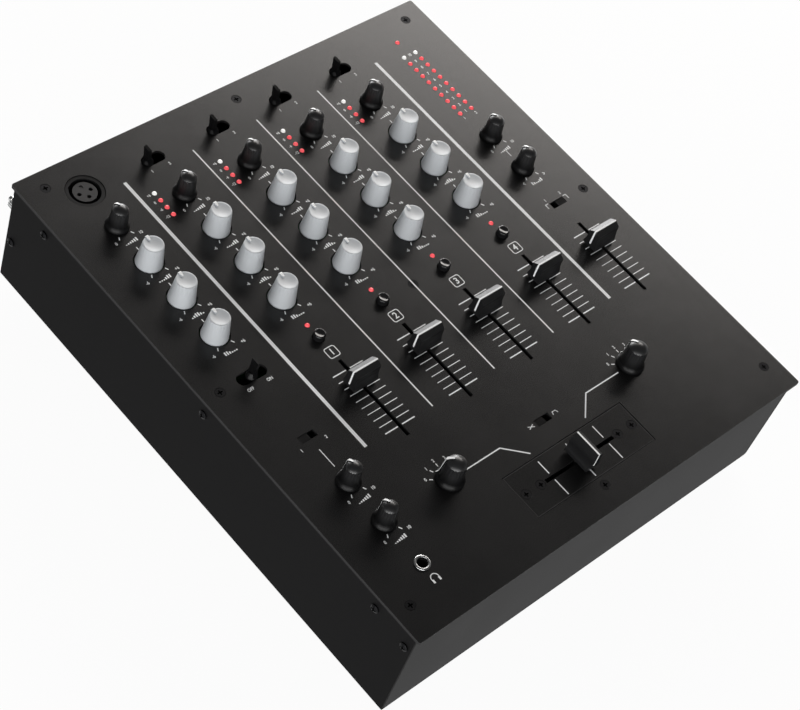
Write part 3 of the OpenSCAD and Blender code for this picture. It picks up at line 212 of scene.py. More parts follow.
class Wire:
    """One socket of a material. Arithmetic on it adds Math nodes."""

    def __init__(self, finish, socket):
        self.finish = finish
        self.socket = socket

    def math(self, operation, first, second):
        """The result of a Math node on two values."""
        return self.finish.node("ShaderNodeMath", {"operation": operation}, {0: first, 1: second})

    def __add__(self, other):
        return self.math("ADD", self, other)

    __radd__ = __add__

    def __sub__(self, other):
        return self.math("SUBTRACT", self, other)

    def __rsub__(self, other):
        return self.math("SUBTRACT", other, self)

    def __mul__(self, other):
        return self.math("MULTIPLY", self, other)

    __rmul__ = __mul__

    def __gt__(self, other):
        return self.math("GREATER_THAN", self, other)

    def __lt__(self, other):
        return self.math("LESS_THAN", self, other)

    def least(self, other):
        return self.math("MINIMUM", self, other)

    def most(self, other):
        return self.math("MAXIMUM", self, other)

    def inside(self, low, high):
        """1 where the value lies between low and high."""
        return (self > low) * (self < high)


class Finish:
    """A material under construction, with a Principled shader on Object coordinates."""

    def __init__(self, name, **constants):
        self.material = bpy.data.materials.new(name)
        self.material.use_nodes = True
        self.tree = self.material.node_tree
        self.tree.nodes.clear()
        self.shader = self.tree.nodes.new("ShaderNodeBsdfPrincipled")
        output = self.tree.nodes.new("ShaderNodeOutputMaterial")
        self.tree.links.new(self.shader.outputs[0], output.inputs["Surface"])
        self.place = self.node("ShaderNodeTexCoord", output="Object")
        self.feed(**constants)

    def plug(self, socket, value):
        """Links a wire to a socket, or sets the socket to a plain value."""
        if isinstance(value, Wire):
            self.tree.links.new(value.socket, socket)
        else:
            socket.default_value = value

    def node(self, kind, settings=None, sockets=None, output=0):
        """Adds a node: its settings are set first, then the values or links of its sockets."""
        node = self.tree.nodes.new(kind)
        for key, value in (settings or {}).items():
            setattr(node, key, value)
        for key, value in (sockets or {}).items():
            self.plug(node.inputs[key], value)
        return Wire(self, node.outputs[output])

    def feed(self, **inputs):
        """Sets or links inputs of the shader, with their names' spaces written as underscores."""
        for key, value in inputs.items():
            self.plug(self.shader.inputs[key.replace("_", " ")], value)

    def axes(self):
        """The X, Y and Z of the place on the piece."""
        split = self.tree.nodes.new("ShaderNodeSeparateXYZ")
        self.tree.links.new(self.place.socket, split.inputs[0])
        return [Wire(self, socket) for socket in split.outputs]

    def noise(self, scale, detail=2.0, rough=0.5):
        """Noise on the piece, with so many features to the metre."""
        sockets = {"Vector": self.place, "Scale": scale, "Detail": detail, "Roughness": rough}
        return self.node("ShaderNodeTexNoise", {}, sockets)

    def blend(self, mask, low, high):
        """A colour that goes from low to high with the mask."""
        return self.node("ShaderNodeMix", {"data_type": "RGBA"}, {0: mask, 6: low, 7: high}, output=2)

    def bump(self, height, strength, distance):
        """A normal that follows small heights on the surface."""
        return self.node("ShaderNodeBump", {}, {"Strength": strength, "Distance": distance, "Height": height})


def rgba(colour, gain=1.0):
    """A colour with its brightness changed and full alpha."""
    return (colour[0] * gain, colour[1] * gain, colour[2] * gain, 1.0)


def powder_coat(name, colour, roughness, shine, edge_lit_node=None, rim_highlight_gain=2.2):
    """Satin powder coat, pebbled and mottled. With a node given, a painted highlight makes it paler along its
    rim, and it is dull on its sides.
    """
    finish = Finish(name, Specular_IOR_Level=shine)
    grain = finish.noise(2400, 3.0, 0.6)
    mottle = finish.noise(26, 3.0)
    tone = finish.blend(mottle, rgba(colour, 0.86), rgba(colour, 1.14))
    gloss = roughness + (grain - 0.5) * 0.16 + (mottle - 0.5) * 0.05
    if edge_lit_node:
        low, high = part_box(edge_lit_node)
        x, y, z = finish.axes()
        rim = (x - low.x).least(high.x - x).least(y - low.y).least(high.y - y)
        # Painted highlight: the band along the rim is made paler where a rounded edge would catch the light
        wear_and_highlight = (rim < HIGHLIGHT_RIM * MM) * (0.55 + 0.45 * finish.noise(180, 3.0))
        tone = finish.blend(wear_and_highlight, tone, rgba(colour, rim_highlight_gain))
        gloss = gloss + (z < high.z - EDGE_SKIN * MM) * 0.5
    finish.feed(Base_Color=tone, Roughness=gloss, Normal=finish.bump(grain, 0.16, 0.00008))
    return finish.material


def moulding(name, colour, roughness, grain_scale=900.0, grain=0.05, shine=0.5):
    """Moulded plastic with a faint skin and small changes of gloss."""
    finish = Finish(name, Specular_IOR_Level=shine)
    skin = finish.noise(grain_scale, 2.0)
    haze = finish.noise(70, 3.0)
    finish.feed(
        Base_Color=finish.blend(haze, rgba(colour, 0.9), rgba(colour, 1.12)),
        Roughness=roughness + (haze - 0.5) * 0.1 + (skin - 0.5) * 0.06,
        Normal=finish.bump(skin, grain, 0.00005),
    )
    return finish.material


def knob_plastic(name, colour, roughness):
    """Black knob plastic: a satin coat that fades out down the neck, with painted shade darkening the foot.
    """
    finish = Finish(name, Specular_IOR_Level=0.1, Coat_Roughness=roughness)
    z = finish.axes()[2]
    rise = ((z - PANEL_TOP) * (1 / (KNOB_FADE * MM))).least(1.0)
    coat = rise * rise
    haze = finish.noise(70, 3.0)
    skin = finish.noise(500, 2.0)
    finish.feed(
        # Painted shade: the base colour darkens towards the panel
        Base_Color=finish.blend(coat, rgba(colour, 0.4), rgba(colour, 1.0)),
        Roughness=roughness + (haze - 0.5) * 0.1 + (skin - 0.5) * 0.06,
        Coat_Weight=0.1 + coat * 0.9,
        Normal=finish.bump(skin, 0.03, 0.00005),
    )
    return finish.material


def lacquer(name, colour, roughness):
    """Silver lacquer on plastic: fine flake in the colour and the gloss."""
    finish = Finish(name, Metallic=0.18)
    flake = finish.noise(5200, 2.0, 0.7)
    haze = finish.noise(90, 2.0)
    finish.feed(
        Base_Color=finish.blend(flake, rgba(colour, 0.93), rgba(colour, 1.06)),
        Roughness=roughness + (flake - 0.5) * 0.14 + (haze - 0.5) * 0.06,
        Normal=finish.bump(flake, 0.05, 0.00004),
    )
    return finish.material


def plating(name, colour, roughness, wear_and_highlight=1.0):
    """Plated metal with fine scuffs, fewer where wear is low."""
    finish = Finish(name, Metallic=1.0)
    scuff = finish.noise(1500, 4.0, 0.7)
    finish.feed(
        Base_Color=finish.blend(scuff, rgba(colour, 0.88), rgba(colour, 1.05)),
        Roughness=roughness + (scuff - 0.5) * 0.18 * wear_and_highlight,
        Normal=finish.bump(scuff, 0.05 * wear_and_highlight, 0.00003),
    )
    return finish.material


def soft_rubber(name, colour):
    """Dull rubber with a dusty bloom."""
    finish = Finish(name)
    bloom = finish.noise(120, 4.0)
    skin = finish.noise(1600, 2.0)
    finish.feed(
        Base_Color=finish.blend(bloom, rgba(colour, 0.8), rgba(colour, 1.5)),
        Roughness=0.74 + (bloom - 0.5) * 0.2,
        Normal=finish.bump(skin, 0.2, 0.0001),
    )
    return finish.material


def screen_ink(name, colour):
    """Screen-printed ink, a little thin in places."""
    finish = Finish(name)
    cover = finish.noise(1300, 3.0)
    finish.feed(
        Base_Color=finish.blend(cover, rgba(colour, 0.86), rgba(colour, 1.06)),
        Roughness=0.5 + (cover - 0.5) * 0.2,
    )
    return finish.material


def board_mask(name):
    """Green solder mask with copper tracks under it."""
    finish = Finish(name)
    track = finish.node("ShaderNodeTexBrick", {}, {
        "Vector": finish.place, "Scale": 90.0, "Mortar Size": 0.06,
        "Color1": (0.012, 0.085, 0.03, 1), "Color2": (0.016, 0.1, 0.036, 1), "Mortar": (0.03, 0.17, 0.06, 1),
    })
    gloss = finish.noise(200, 2.0)
    finish.feed(Base_Color=track, Roughness=0.34 + (gloss - 0.5) * 0.14)
    return finish.material


def lens_glow(name, lit, clear, strength):
    """Lit indicator lenses: red ones, and clear ones at the rear end of each row."""
    finish = Finish(name, Emission_Strength=strength)
    x, y = finish.axes()[:2]
    channel_end = (y > on_panel(0, CLEAR_CHANNEL_Y).y) * (x < column(4.6) * MM)
    meter_end = y.inside(*(on_panel(0, edge).y for edge in CLEAR_METER_Y))
    clear_mask = channel_end.most(meter_end)
    bead = finish.noise(700, 2.0)
    tint = finish.blend(clear_mask, rgba(lit), rgba(clear))
    finish.feed(Base_Color=tint, Emission_Color=tint, Roughness=0.1 + bead * 0.08)
    return finish.material


def socket_finish(name, black):
    """Black microphone socket: a satin core with contacts and a dull shell round it."""
    finish = Finish(name, Specular_IOR_Level=0.3)
    x, y = finish.axes()[:2]
    middle = on_panel(column(0), SOCKET_Y)
    out_x, out_y = x - middle.x, y - middle.y
    shell = out_x * out_x + out_y * out_y > (SOCKET_CORE_R * MM) ** 2
    haze = finish.noise(70, 3.0)
    finish.feed(
        Base_Color=finish.blend(shell, rgba(black, 2.6), rgba(black, 0.4)),
        Roughness=0.34 + shell * 0.4 + (haze - 0.5) * 0.1,
    )
    return finish.material


def jack_finish(name, black, nickel):
    """Black jack body with a nickel ring nut and bushing above the panel."""
    finish = Finish(name)
    bright = finish.axes()[2] > PANEL_TOP - NUT_DEPTH * MM
    scuff = finish.noise(1500, 4.0, 0.7)
    finish.feed(
        Base_Color=finish.blend(bright, rgba(black), rgba(nickel)),
        Metallic=bright,
        Roughness=0.14 + scuff * 0.1 + (1 - bright) * 0.3,
    )
    return finish.material


def connector_finish(name, black, nickel, white, red):
    """Rear sockets: nickel sleeves on white and red bosses, black housings, green jack board."""
    finish = Finish(name)
    x, y, z = finish.axes()
    out = y - REAR_FACE
    jacks = x.inside(*JACKS_X)
    sleeve = jacks * (out > BOSS_DEPTH[1])
    boss = jacks * out.inside(*BOSS_DEPTH)
    board = jacks * (out < BOARD_DEPTH)
    bright = sleeve.most(x < POST_X).most(x.inside(*DATA_X))
    colour = finish.blend(bright, rgba(black), rgba(nickel))
    pair = finish.blend(z > PANEL_TOP - JACK_ROWS_DROP, rgba(red), rgba(white))
    colour = finish.blend(boss, colour, pair)
    colour = finish.blend(board, colour, (0.014, 0.09, 0.033, 1))
    scuff = finish.noise(1200, 3.0, 0.6)
    finish.feed(
        Base_Color=colour,
        Metallic=bright,
        Roughness=0.42 - 0.18 * bright + (scuff - 0.5) * 0.16,
        Normal=finish.bump(scuff, 0.06, 0.00004),
    )
    return finish.material


def dressed(node, material):
    """Gives a CAD node a finish in place of its plain colour."""
    obj = frame["nodes"][node]
    if not obj.material_slots:
        obj.data.materials.append(material)
    for slot in obj.material_slots:
        slot.material = material


class MixerFinishSettings(bpy.types.PropertyGroup):
    """Colours and gloss of the mixer's own surfaces."""

    case_colour: bpy.props.FloatVectorProperty(
        name="Case colour", description="Powder coat of the panel and the case", subtype="COLOR",
        default=(0.0066, 0.0065, 0.0067), min=0, max=1,
    )
    case_roughness: bpy.props.FloatProperty(
        name="Case roughness", description="Roughness of the powder coat", default=0.275, min=0.1, max=1,
    )
    tone_knob_colour: bpy.props.FloatVectorProperty(
        name="Tone knob colour", description="Silver lacquer of the tone knobs", subtype="COLOR",
        default=(0.53, 0.552, 0.572), min=0, max=1,
    )
    black_colour: bpy.props.FloatVectorProperty(
        name="Control colour", description="Black plastic of knobs, caps, levers and buttons",
        subtype="COLOR", default=(0.0085, 0.0085, 0.009), min=0, max=1,
    )
    nickel_colour: bpy.props.FloatVectorProperty(
        name="Nickel colour", description="Plating of sockets and the ground post", subtype="COLOR",
        default=(0.70, 0.71, 0.71), min=0, max=1,
    )
    lamp_colour: bpy.props.FloatVectorProperty(
        name="Lamp colour", description="Colour of the lit indicator lenses", subtype="COLOR",
        default=(0.90, 0.10, 0.115), min=0, max=1,
    )
    lamp_strength: bpy.props.FloatProperty(
        name="Lamp strength", description="Glow of the lit indicator lenses", default=0.55, min=0, max=5,
    )


class MixerPrintSettings(bpy.types.PropertyGroup):
    """Sizes of the markings printed on the panel."""

    ink_colour: bpy.props.FloatVectorProperty(
        name="Ink colour", description="Colour of lines, numbers and signs", subtype="COLOR",
        default=(0.91, 0.93, 0.94), min=0, max=1,
    )
    thick_line: bpy.props.FloatProperty(
        name="Thick divider", description="Width of the outer divider lines in millimetres",
        default=2.2, min=0.5, max=4,
    )
    thin_line: bpy.props.FloatProperty(
        name="Thin divider", description="Width of the inner divider lines in millimetres",
        default=0.95, min=0.3, max=2,
    )
    tick_line: bpy.props.FloatProperty(
        name="Tick width", description="Width of the knobs' tick marks in millimetres",
        default=0.6, min=0.2, max=1.5,
    )
    scale_line: bpy.props.FloatProperty(
        name="Scale width", description="Width of the faders' scale marks in millimetres",
        default=0.5, min=0.2, max=1.5,
    )
    digit_height: bpy.props.FloatProperty(
        name="Digit height", description="Height of the small numbers in millimetres",
        default=2.1, min=0.8, max=4,
    )


class MixerStudioSettings(bpy.types.PropertyGroup):
    """Light and floor of the studio."""

    key_power: bpy.props.FloatProperty(
        name="Key light", description="Power of the soft light at the right rear",
        subtype="POWER", default=16.7, min=0,
    )
    rear_power: bpy.props.FloatProperty(
        name="Rear light", description="Power of the low light behind", subtype="POWER", default=32.0, min=0,
    )
    fill_power: bpy.props.FloatProperty(
        name="Camera light", description="Power of the low light on the camera's side",
        subtype="POWER", default=66.0, min=0,
    )
    sky_strength: bpy.props.FloatProperty(
        name="Room light", description="Strength of the even light from all round",
        default=0.1, min=0, max=2,
    )
    floor_colour: bpy.props.FloatVectorProperty(
        name="Floor colour", description="Colour of the pale floor", subtype="COLOR",
        default=(0.86, 0.86, 0.86), min=0, max=1,
    )


class MIXER_OT_finish_case(bpy.types.Operator):
    """Powder-coats the case sheets and finishes feet, screws and the parts inside"""

    bl_idname = "mixer.finish_case"
    bl_label = "Finish the case"

    def execute(self, context):
        look = context.scene.mixer_finish
        coat = look.case_colour
        # The panel and the crossfader plate get a painted highlight along their rims
        dressed("top_panel", powder_coat("panel_coat", coat, look.case_roughness, 0.36, "top_panel"))
        dressed("bottom_tray", powder_coat("tray_coat", coat, look.case_roughness + 0.3, 0.03))
        sheet_coat = powder_coat("sheet_coat", coat, look.case_roughness + 0.2, 0.05)
        dressed("front_panel", sheet_coat)
        dressed("rear_panel", sheet_coat)
        plate = [c * 0.92 for c in coat]
        # Painted highlight along the plate's recess edge, nine times paler than its coat
        plate_coat = powder_coat("plate_coat", plate, look.case_roughness, 0.27, "crossfader_plate", 9.0)
        dressed("crossfader_plate", plate_coat)
        dressed("screws", plating("black_steel", (0.014, 0.014, 0.015), 0.46))
        dressed("feet", soft_rubber("foot_rubber", (0.012, 0.012, 0.012)))
        dressed("control_board", board_mask("solder_mask"))
        dressed("pots_and_switches", moulding("switch_bodies", (0.012, 0.012, 0.013), 0.5))
        dressed("fader_tracks", moulding("track_black", (0.010, 0.010, 0.011), 0.45))
        dressed("power_supply", moulding("supply_parts", (0.07, 0.075, 0.08), 0.5))
        return {"FINISHED"}


class MIXER_OT_finish_controls(bpy.types.Operator):
    """Finishes knobs, fader caps, levers, switches and buttons"""

    bl_idname = "mixer.finish_controls"
    bl_label = "Finish the controls"

    def execute(self, context):
        look = context.scene.mixer_finish
        silver = lacquer("silver_lacquer", look.tone_knob_colour, 0.48)
        gloss = knob_plastic("gloss_black", look.black_colour, 0.36)
        lever = moulding("lever_black", [c * 0.5 for c in look.black_colour], 0.36, 500, 0.03, 0.2)
        satin = moulding("satin_black", look.black_colour, 0.38, 900, 0.06)
        matte = moulding("matte_black", [c * 0.5 for c in look.black_colour], 0.66, 1400, 0.1, 0.2)
        polished = moulding("polished_black", look.black_colour, 0.14, 400, 0.02)
        for name in JOINT_OF:
            if name.endswith("switch"):
                dressed(name, matte)
            elif "fader" in name or "rocker" in name:
                dressed(name, satin)
            elif "lever" in name:
                dressed(name, lever)
            elif any(tone in name for tone in TONES):
                dressed(name, silver)
            elif "button" in name:
                dressed(name, polished)
            else:
                dressed(name, gloss)
        return {"FINISHED"}


class MIXER_OT_finish_sockets(bpy.types.Operator):
    """Finishes the indicator lenses and every socket"""

    bl_idname = "mixer.finish_sockets"
    bl_label = "Finish lights and sockets"

    def execute(self, context):
        look = context.scene.mixer_finish
        lit = look.lamp_colour
        dressed("indicator_lights", lens_glow("lamp_lenses", lit, (0.86, 0.86, 0.84), look.lamp_strength))
        dressed("mic_socket", socket_finish("socket_black", look.black_colour))
        dressed("headphone_jack", jack_finish("jack_parts", look.black_colour, look.nickel_colour))
        dressed("rear_connectors", connector_finish(
            "rear_sockets", look.black_colour, look.nickel_colour, (0.72, 0.72, 0.7), (0.5, 0.02, 0.02),
        ))
        return {"FINISHED"}


class InkPress:
    """Collects printed marks and joins them into one piece on the panel."""

    def __init__(self, context):
        self.settings = context.scene.mixer_print
        self.marks = []
        self.bar_model = self.model_bar()

    def raised(self, mark):
        """Extrudes a flat mark, selected in edit mode, to the ink's thickness."""
        bpy.ops.mesh.extrude_region_move(TRANSFORM_OT_translate={"value": (0, 0, INK_THICK * MM)})
        bpy.ops.object.mode_set(mode="OBJECT")
        return recalculated(mark)

    def hollowed(self, line):
        """Leaves an outline of that width of a flat mark in edit mode."""
        bpy.ops.mesh.select_mode(type="FACE")
        bpy.ops.mesh.select_all(action="SELECT")
        bpy.ops.mesh.inset(thickness=line * MM)
        bpy.ops.mesh.delete(type="FACE")
        bpy.ops.mesh.select_all(action="SELECT")

    def model_bar(self):
        """A millimetre square of ink, extruded to the ink's thickness."""
        deselect()
        bpy.ops.mesh.primitive_plane_add(size=MM)
        bar = bpy.context.object
        bpy.ops.object.mode_set(mode="EDIT")
        return self.raised(bar)

    def bar(self, x, y, length, width, angle=0.0, z=0.0):
        """A straight mark centred at x, y, turned by angle in degrees and not level with the last one."""
        lift = INK_STEP * (len(self.marks) % 4)
        mark = copied(self.bar_model, on_panel(x, y, z + lift), math.radians(angle), (length, width, 1))
        self.marks.append(mark)

    def path(self, points, width, z=0.0):
        """A line through several points, with overlapping ends."""
        for (x0, y0), (x1, y1) in zip(points, points[1:]):
            length = math.hypot(x1 - x0, y1 - y0)
            angle = math.degrees(math.atan2(y1 - y0, x1 - x0))
            self.bar((x0 + x1) / 2, (y0 + y1) / 2, length + width * 0.8, width, angle, z)

    def words(self, text, x, y, height, narrow=0.86):
        """Numbers or a plain word, centred at x, y, as a mesh."""
        deselect()
        bpy.ops.object.text_add(location=on_panel(x, y))
        sign = bpy.context.object
        sign.data.body = text
        sign.data.size = height * MM / 0.7
        sign.data.align_x = "CENTER"
        sign.data.align_y = "CENTER"
        sign.data.extrude = INK_THICK * MM / 2
        sign.data.offset = height * 0.00003
        sign.data.resolution_u = 3
        sign.scale = (narrow, 1, 1)
        bpy.ops.object.convert(target="MESH")
        self.marks.append(bpy.context.object)

    def frame(self, x, y, side, corner, line):
        """A square outline with rounded corners."""
        deselect()
        bpy.ops.mesh.primitive_plane_add(size=side * MM, location=on_panel(x, y))
        outline = bpy.context.object
        bpy.ops.object.mode_set(mode="EDIT")
        bpy.ops.mesh.select_all(action="SELECT")
        bpy.ops.mesh.bevel(offset=corner * MM, segments=5, affect="VERTICES")
        self.hollowed(line)
        self.marks.append(self.raised(outline))

    def arch(self, x, y, radius, line, low):
        """The part of a ring that lies behind the line Y = low."""
        deselect()
        bpy.ops.mesh.primitive_circle_add(
            vertices=40, radius=radius * MM, fill_type="NGON", location=on_panel(x, y),
        )
        arch = bpy.context.object
        bpy.ops.object.mode_set(mode="EDIT")
        self.hollowed(line)
        bpy.ops.mesh.bisect(plane_co=on_panel(x, low), plane_no=(0, 1, 0), clear_inner=True)
        bpy.ops.mesh.select_all(action="SELECT")
        self.marks.append(self.raised(arch))

    def printed(self, name):
        """Joins what was collected into one printed piece."""
        piece = joined(name, self.marks)
        discard(self.bar_model)
        ink = bpy.data.materials.get("screen_ink") or screen_ink("screen_ink", self.settings.ink_colour)
        return worn(piece, "chassis", ink)


class MIXER_OT_print_dividers(bpy.types.Operator):
    """Prints the lines between the channels and the lines that tie controls together"""

    bl_idname = "mixer.print_dividers"
    bl_label = "Print the divider lines"

    def execute(self, context):
        press = InkPress(context)
        middle = (DIVIDER_REAR_Y + DIVIDER_FRONT_Y) / 2
        length = DIVIDER_REAR_Y - DIVIDER_FRONT_Y
        for x in THICK_DIVIDERS_X:
            press.bar(x, middle, length, press.settings.thick_line, 90)
        for x in THIN_DIVIDERS_X:
            press.bar(x, middle, length, press.settings.thin_line, 90)
        # Lines from a switch to its knob, from a knob to the next and from the assign knobs to the crossfader
        press.bar(column(0), -64.2, 13.3, 0.5, 90)
        press.bar(column(5), 47.5, 5.0, 0.5, 90)
        for side in (-1, 1):
            press.path([(side * 64, -113), (side * 36, -113), (side * 23.2, -125.3)], 0.8)
        press.printed("printed_dividers")
        return {"FINISHED"}


class MIXER_OT_print_scales(bpy.types.Operator):
    """Prints the marks beside the faders and the crossfader"""

    bl_idname = "mixer.print_scales"
    bl_label = "Print the fader scales"

    def execute(self, context):
        press = InkPress(context)
        thin = press.settings.scale_line
        last = FADER_MARKS - 1
        for k in (1, 2, 3, 4, 5):
            for i in range(FADER_MARKS):
                y = FADER_TOP_Y + (FADER_BOTTOM_Y - FADER_TOP_Y) * i / last
                line = thin * 1.6 if i in (0, last) else thin
                for side in (-1, 1):
                    press.bar(column(k) + side * 6.5, y, 9.8, line)
        sunk = (PLATE_TOP - PANEL_TOP) / MM
        for x in CROSSFADER_MARKS_X:
            for rear, front in CROSSFADER_MARKS_Y:
                press.bar(x, (rear + front) / 2, rear - front, 0.7, 90, sunk)
        press.printed("printed_scales")
        return {"FINISHED"}


class MIXER_OT_print_ticks(bpy.types.Operator):
    """Prints the ticks round the knobs and the signs of the slide switches"""

    bl_idname = "mixer.print_ticks"
    bl_label = "Print the knob ticks"

    def ticks(self, press, x, y, radius, turns, length=2.2):
        """Ticks round the shaft at x, y, at turns in degrees clockwise from the rear."""
        for turn in turns:
            a = math.radians(90 - turn)
            mark_x, mark_y = x + radius * math.cos(a), y + radius * math.sin(a)
            press.bar(mark_x, mark_y, length, press.settings.tick_line, 90 - turn)

    def execute(self, context):
        press = InkPress(context)
        for k in range(5):
            self.ticks(press, column(k), row(0), LEVEL_TICKS_R, END_TURNS)
            for r in (1, 2, 3):
                self.ticks(press, column(k), row(r), TONE_TICKS_R, TONE_TURNS)
        for r in (2, 3):
            self.ticks(press, column(5), row(r), LEVEL_TICKS_R, END_TURNS)
        for r in (0, 1):
            self.ticks(press, column(0), LOWER_Y + r * ROW_PITCH, LEVEL_TICKS_R, END_TURNS)
        for k in (1, 4):
            self.ticks(press, column(k), LOWER_Y, ASSIGN_TICKS_R, ASSIGN_TURNS)
        # Corners beside the stereo switch, then a steep and a gentle curve beside the slope switch
        for side in (-1, 1):
            x = column(5) + side * 9
            press.path([(x - side * 2.2, STEREO_Y + 2.6), (x, STEREO_Y + 2.6), (x, STEREO_Y - 0.6)], 0.45)
        y = LOWER_Y
        press.path([(-11.6, y + 0.9), (-7.8, y - 0.9)], 0.42)
        press.path([(-11.6, y - 0.9), (-7.8, y + 0.9)], 0.42)
        press.path([(7.9, y - 0.9), (8.5, y + 0.9), (11.1, y + 0.9), (11.7, y - 0.9)], 0.42)
        press.printed("printed_ticks")
        return {"FINISHED"}


class MIXER_OT_print_numbers(bpy.types.Operator):
    """Prints numbers, plain signs and the channel boxes"""

    bl_idname = "mixer.print_numbers"
    bl_label = "Print numbers and signs"

    BARS = {
        "level": (0.5, 0.9, 1.3, 1.7, 2.1, 2.5),
        "treble": (0.8, 0.8, 0.8, 1.6, 2.5, 2.5),
        "mid": (0.8, 1.6, 2.5, 2.5, 1.6, 0.8),
        "bass": (2.5, 2.5, 1.6, 0.8, 0.8, 0.8),
        "balance": (2.5, 1.7, 0.9, 0.9, 1.7, 2.5),
    }

    def bars(self, press, x, y, kind):
        """A row of small bars whose heights say what a knob raises or lowers."""
        for i, height in enumerate(self.BARS[kind]):
            press.bar(x + (i - 2.5) * 1.55, y - 1.25 + height / 2, height, 0.95, 90)

    def level(self, press, x, y):
        """The end numbers and the bars of a level knob at x, y."""
        small = press.settings.digit_height
        press.words("0", x - 8.6, y - 10.6, small)
        press.words("10", x + 9.2, y - 10.6, small)
        self.bars(press, x, y - 13.2, "level")

    def sides(self, press, x, y, spread):
        """The numbers 1 and 2 to the left and right of x."""
        small = press.settings.digit_height
        press.words("1", x - spread, y, small)
        press.words("2", x + spread, y, small)

    def execute(self, context):
        press = InkPress(context)
        small = press.settings.digit_height
        for k in range(5):
            self.level(press, column(k), row(0))
            for r, tone in enumerate(TONES, 1):
                press.words("-6", column(k) - 10.6, row(r) - 12.2, small)
                press.words("+6", column(k) + 10.8, row(r) - 12.2, small)
                self.bars(press, column(k), row(r) - 14.2, tone)
        for x, y in ((column(5), row(2)), (column(0), LOWER_Y), (column(0), LOWER_Y + ROW_PITCH)):
            self.level(press, x, y)
        self.bars(press, column(5), row(3) - 13.2, "balance")
        for side in (-1, 1):
            x, y = column(5) + side * 8.8, row(3) - 10.6
            press.path([(x - side * 0.6, y + 0.9), (x + side * 0.6, y), (x - side * 0.6, y - 0.9)], 0.4)
        for k in (1, 4):
            for step, turn in enumerate(ASSIGN_TURNS):
                a = math.radians(90 - turn)
                x, y = column(k) + ASSIGN_NUMBERS_R * math.cos(a), LOWER_Y + ASSIGN_NUMBERS_R * math.sin(a)
                press.words(str(step), x, y, small)
        for k in CHANNELS:
            for i, mark in enumerate(("+6", "0", "-6", "-12")):
                press.words(mark, column(k) - 20.2, CHANNEL_LAMP_Y - LAMP_PITCH * i, small * 0.9)
            self.sides(press, column(k), SOCKET_Y - 7.8, 6.5)
            press.frame(column(k), CHANNEL_BOX_Y, 8.0, 1.7, 0.6)
            press.words(str(k), column(k), CHANNEL_BOX_Y, 4.4, narrow=0.95)
        for i in range(10):
            press.words(str(10 - i), column(5), METER_LAMP_Y - LAMP_PITCH * i, small)
        self.sides(press, column(5), 84.0, 5)
        press.words("OFF", -132.3, -6.2, small)
        press.words("ON", -118.4, -6.2, small)
        self.sides(press, column(0), -53.2, 9.0)
        self.sides(press, column(5), 6.8, 6.5)
        press.arch(column(0), HEADPHONE_SIGN_Y, 2.8, 0.55, HEADPHONE_SIGN_Y - 0.7)
        for side in (-1, 1):
            press.bar(column(0) + side * 2.2, HEADPHONE_SIGN_Y - 1.6, 2.2, 1.2, 90)
        press.printed("printed_numbers")
        return {"FINISHED"}


# Tops of the pointer ribs, as distance from the shaft, height over the panel and width
POINTER_PATHS = {
    "tone": [
        (3.25, 16.35, 0.78), (5.5, 16.35, 1.84), (6.15, 16.35, 1.84), (6.64, 16.15, 1.84),
        (6.85, 15.65, 1.84), (6.93, 15.0, 1.84), (7.12, 13.35, 0.78),
    ],
    "small": [
        (1.72, 17.33, 0.77), (2.36, 17.12, 0.99), (3.0, 16.83, 1.20), (3.75, 16.37, 1.45), (4.5, 15.74, 1.70),
        (4.9, 15.32, 1.84), (5.25, 14.95, 1.84), (5.38, 14.80, 1.84), (5.81, 10.0, 1.43), (6.27, 5.0, 0.99),
        (6.36, 4.06, 0.90), (6.67, 3.0, 0.80), (6.96, 2.42, 0.75),
    ],
    "assign": [
        (2.3, 19.21, 0.82), (3.1, 18.92, 1.06), (4.0, 18.46, 1.30), (4.8, 17.91, 1.53), (5.5, 17.29, 1.70),
        (6.0, 16.74, 1.84), (6.35, 16.36, 1.84), (6.48, 16.20, 1.84), (6.97, 10.7, 1.43), (7.47, 5.0, 1.01),
        (7.55, 4.14, 0.94), (7.90, 3.0, 0.86), (8.50, 2.0, 0.79), (8.91, 1.55, 0.75),
    ],
}


def ribbon(points):
    """A ribbon through points given as Y, Z and width, extruded and widened from point to point."""
    (y0, z0, w0), (y1, z1, w1) = points[:2]
    deselect()
    bpy.ops.mesh.primitive_plane_add(size=MM)
    piece = bpy.context.object
    bpy.ops.object.mode_set(mode="EDIT")
    bpy.ops.transform.resize(value=(w0, max(abs(y1 - y0), 0.002), 1))
    bpy.ops.transform.translate(value=(0, (y0 + y1) / 2 * MM, z0 * MM))
    bpy.ops.mesh.select_mode(type="VERT")
    bpy.ops.mesh.select_all(action="DESELECT")
    bpy.ops.object.mode_set(mode="OBJECT")
    for vertex in sorted(piece.data.vertices, key=lambda v: v.co.y)[2:]:
        vertex.select = True
    bpy.ops.object.mode_set(mode="EDIT")
    bpy.ops.transform.translate(value=(0, 0, (z1 - z0) * MM))
    bpy.ops.transform.resize(value=(w1 / w0, 1, 1))
    for (y0, z0, w0), (y1, z1, w1) in zip(points[1:], points[2:]):
        step = (0, (y1 - y0) * MM, (z1 - z0) * MM)
        bpy.ops.mesh.extrude_region_move(TRANSFORM_OT_translate={"value": step})
        bpy.ops.transform.resize(value=(w1 / w0, 1, 1))
    bpy.ops.object.mode_set(mode="OBJECT")
    return piece


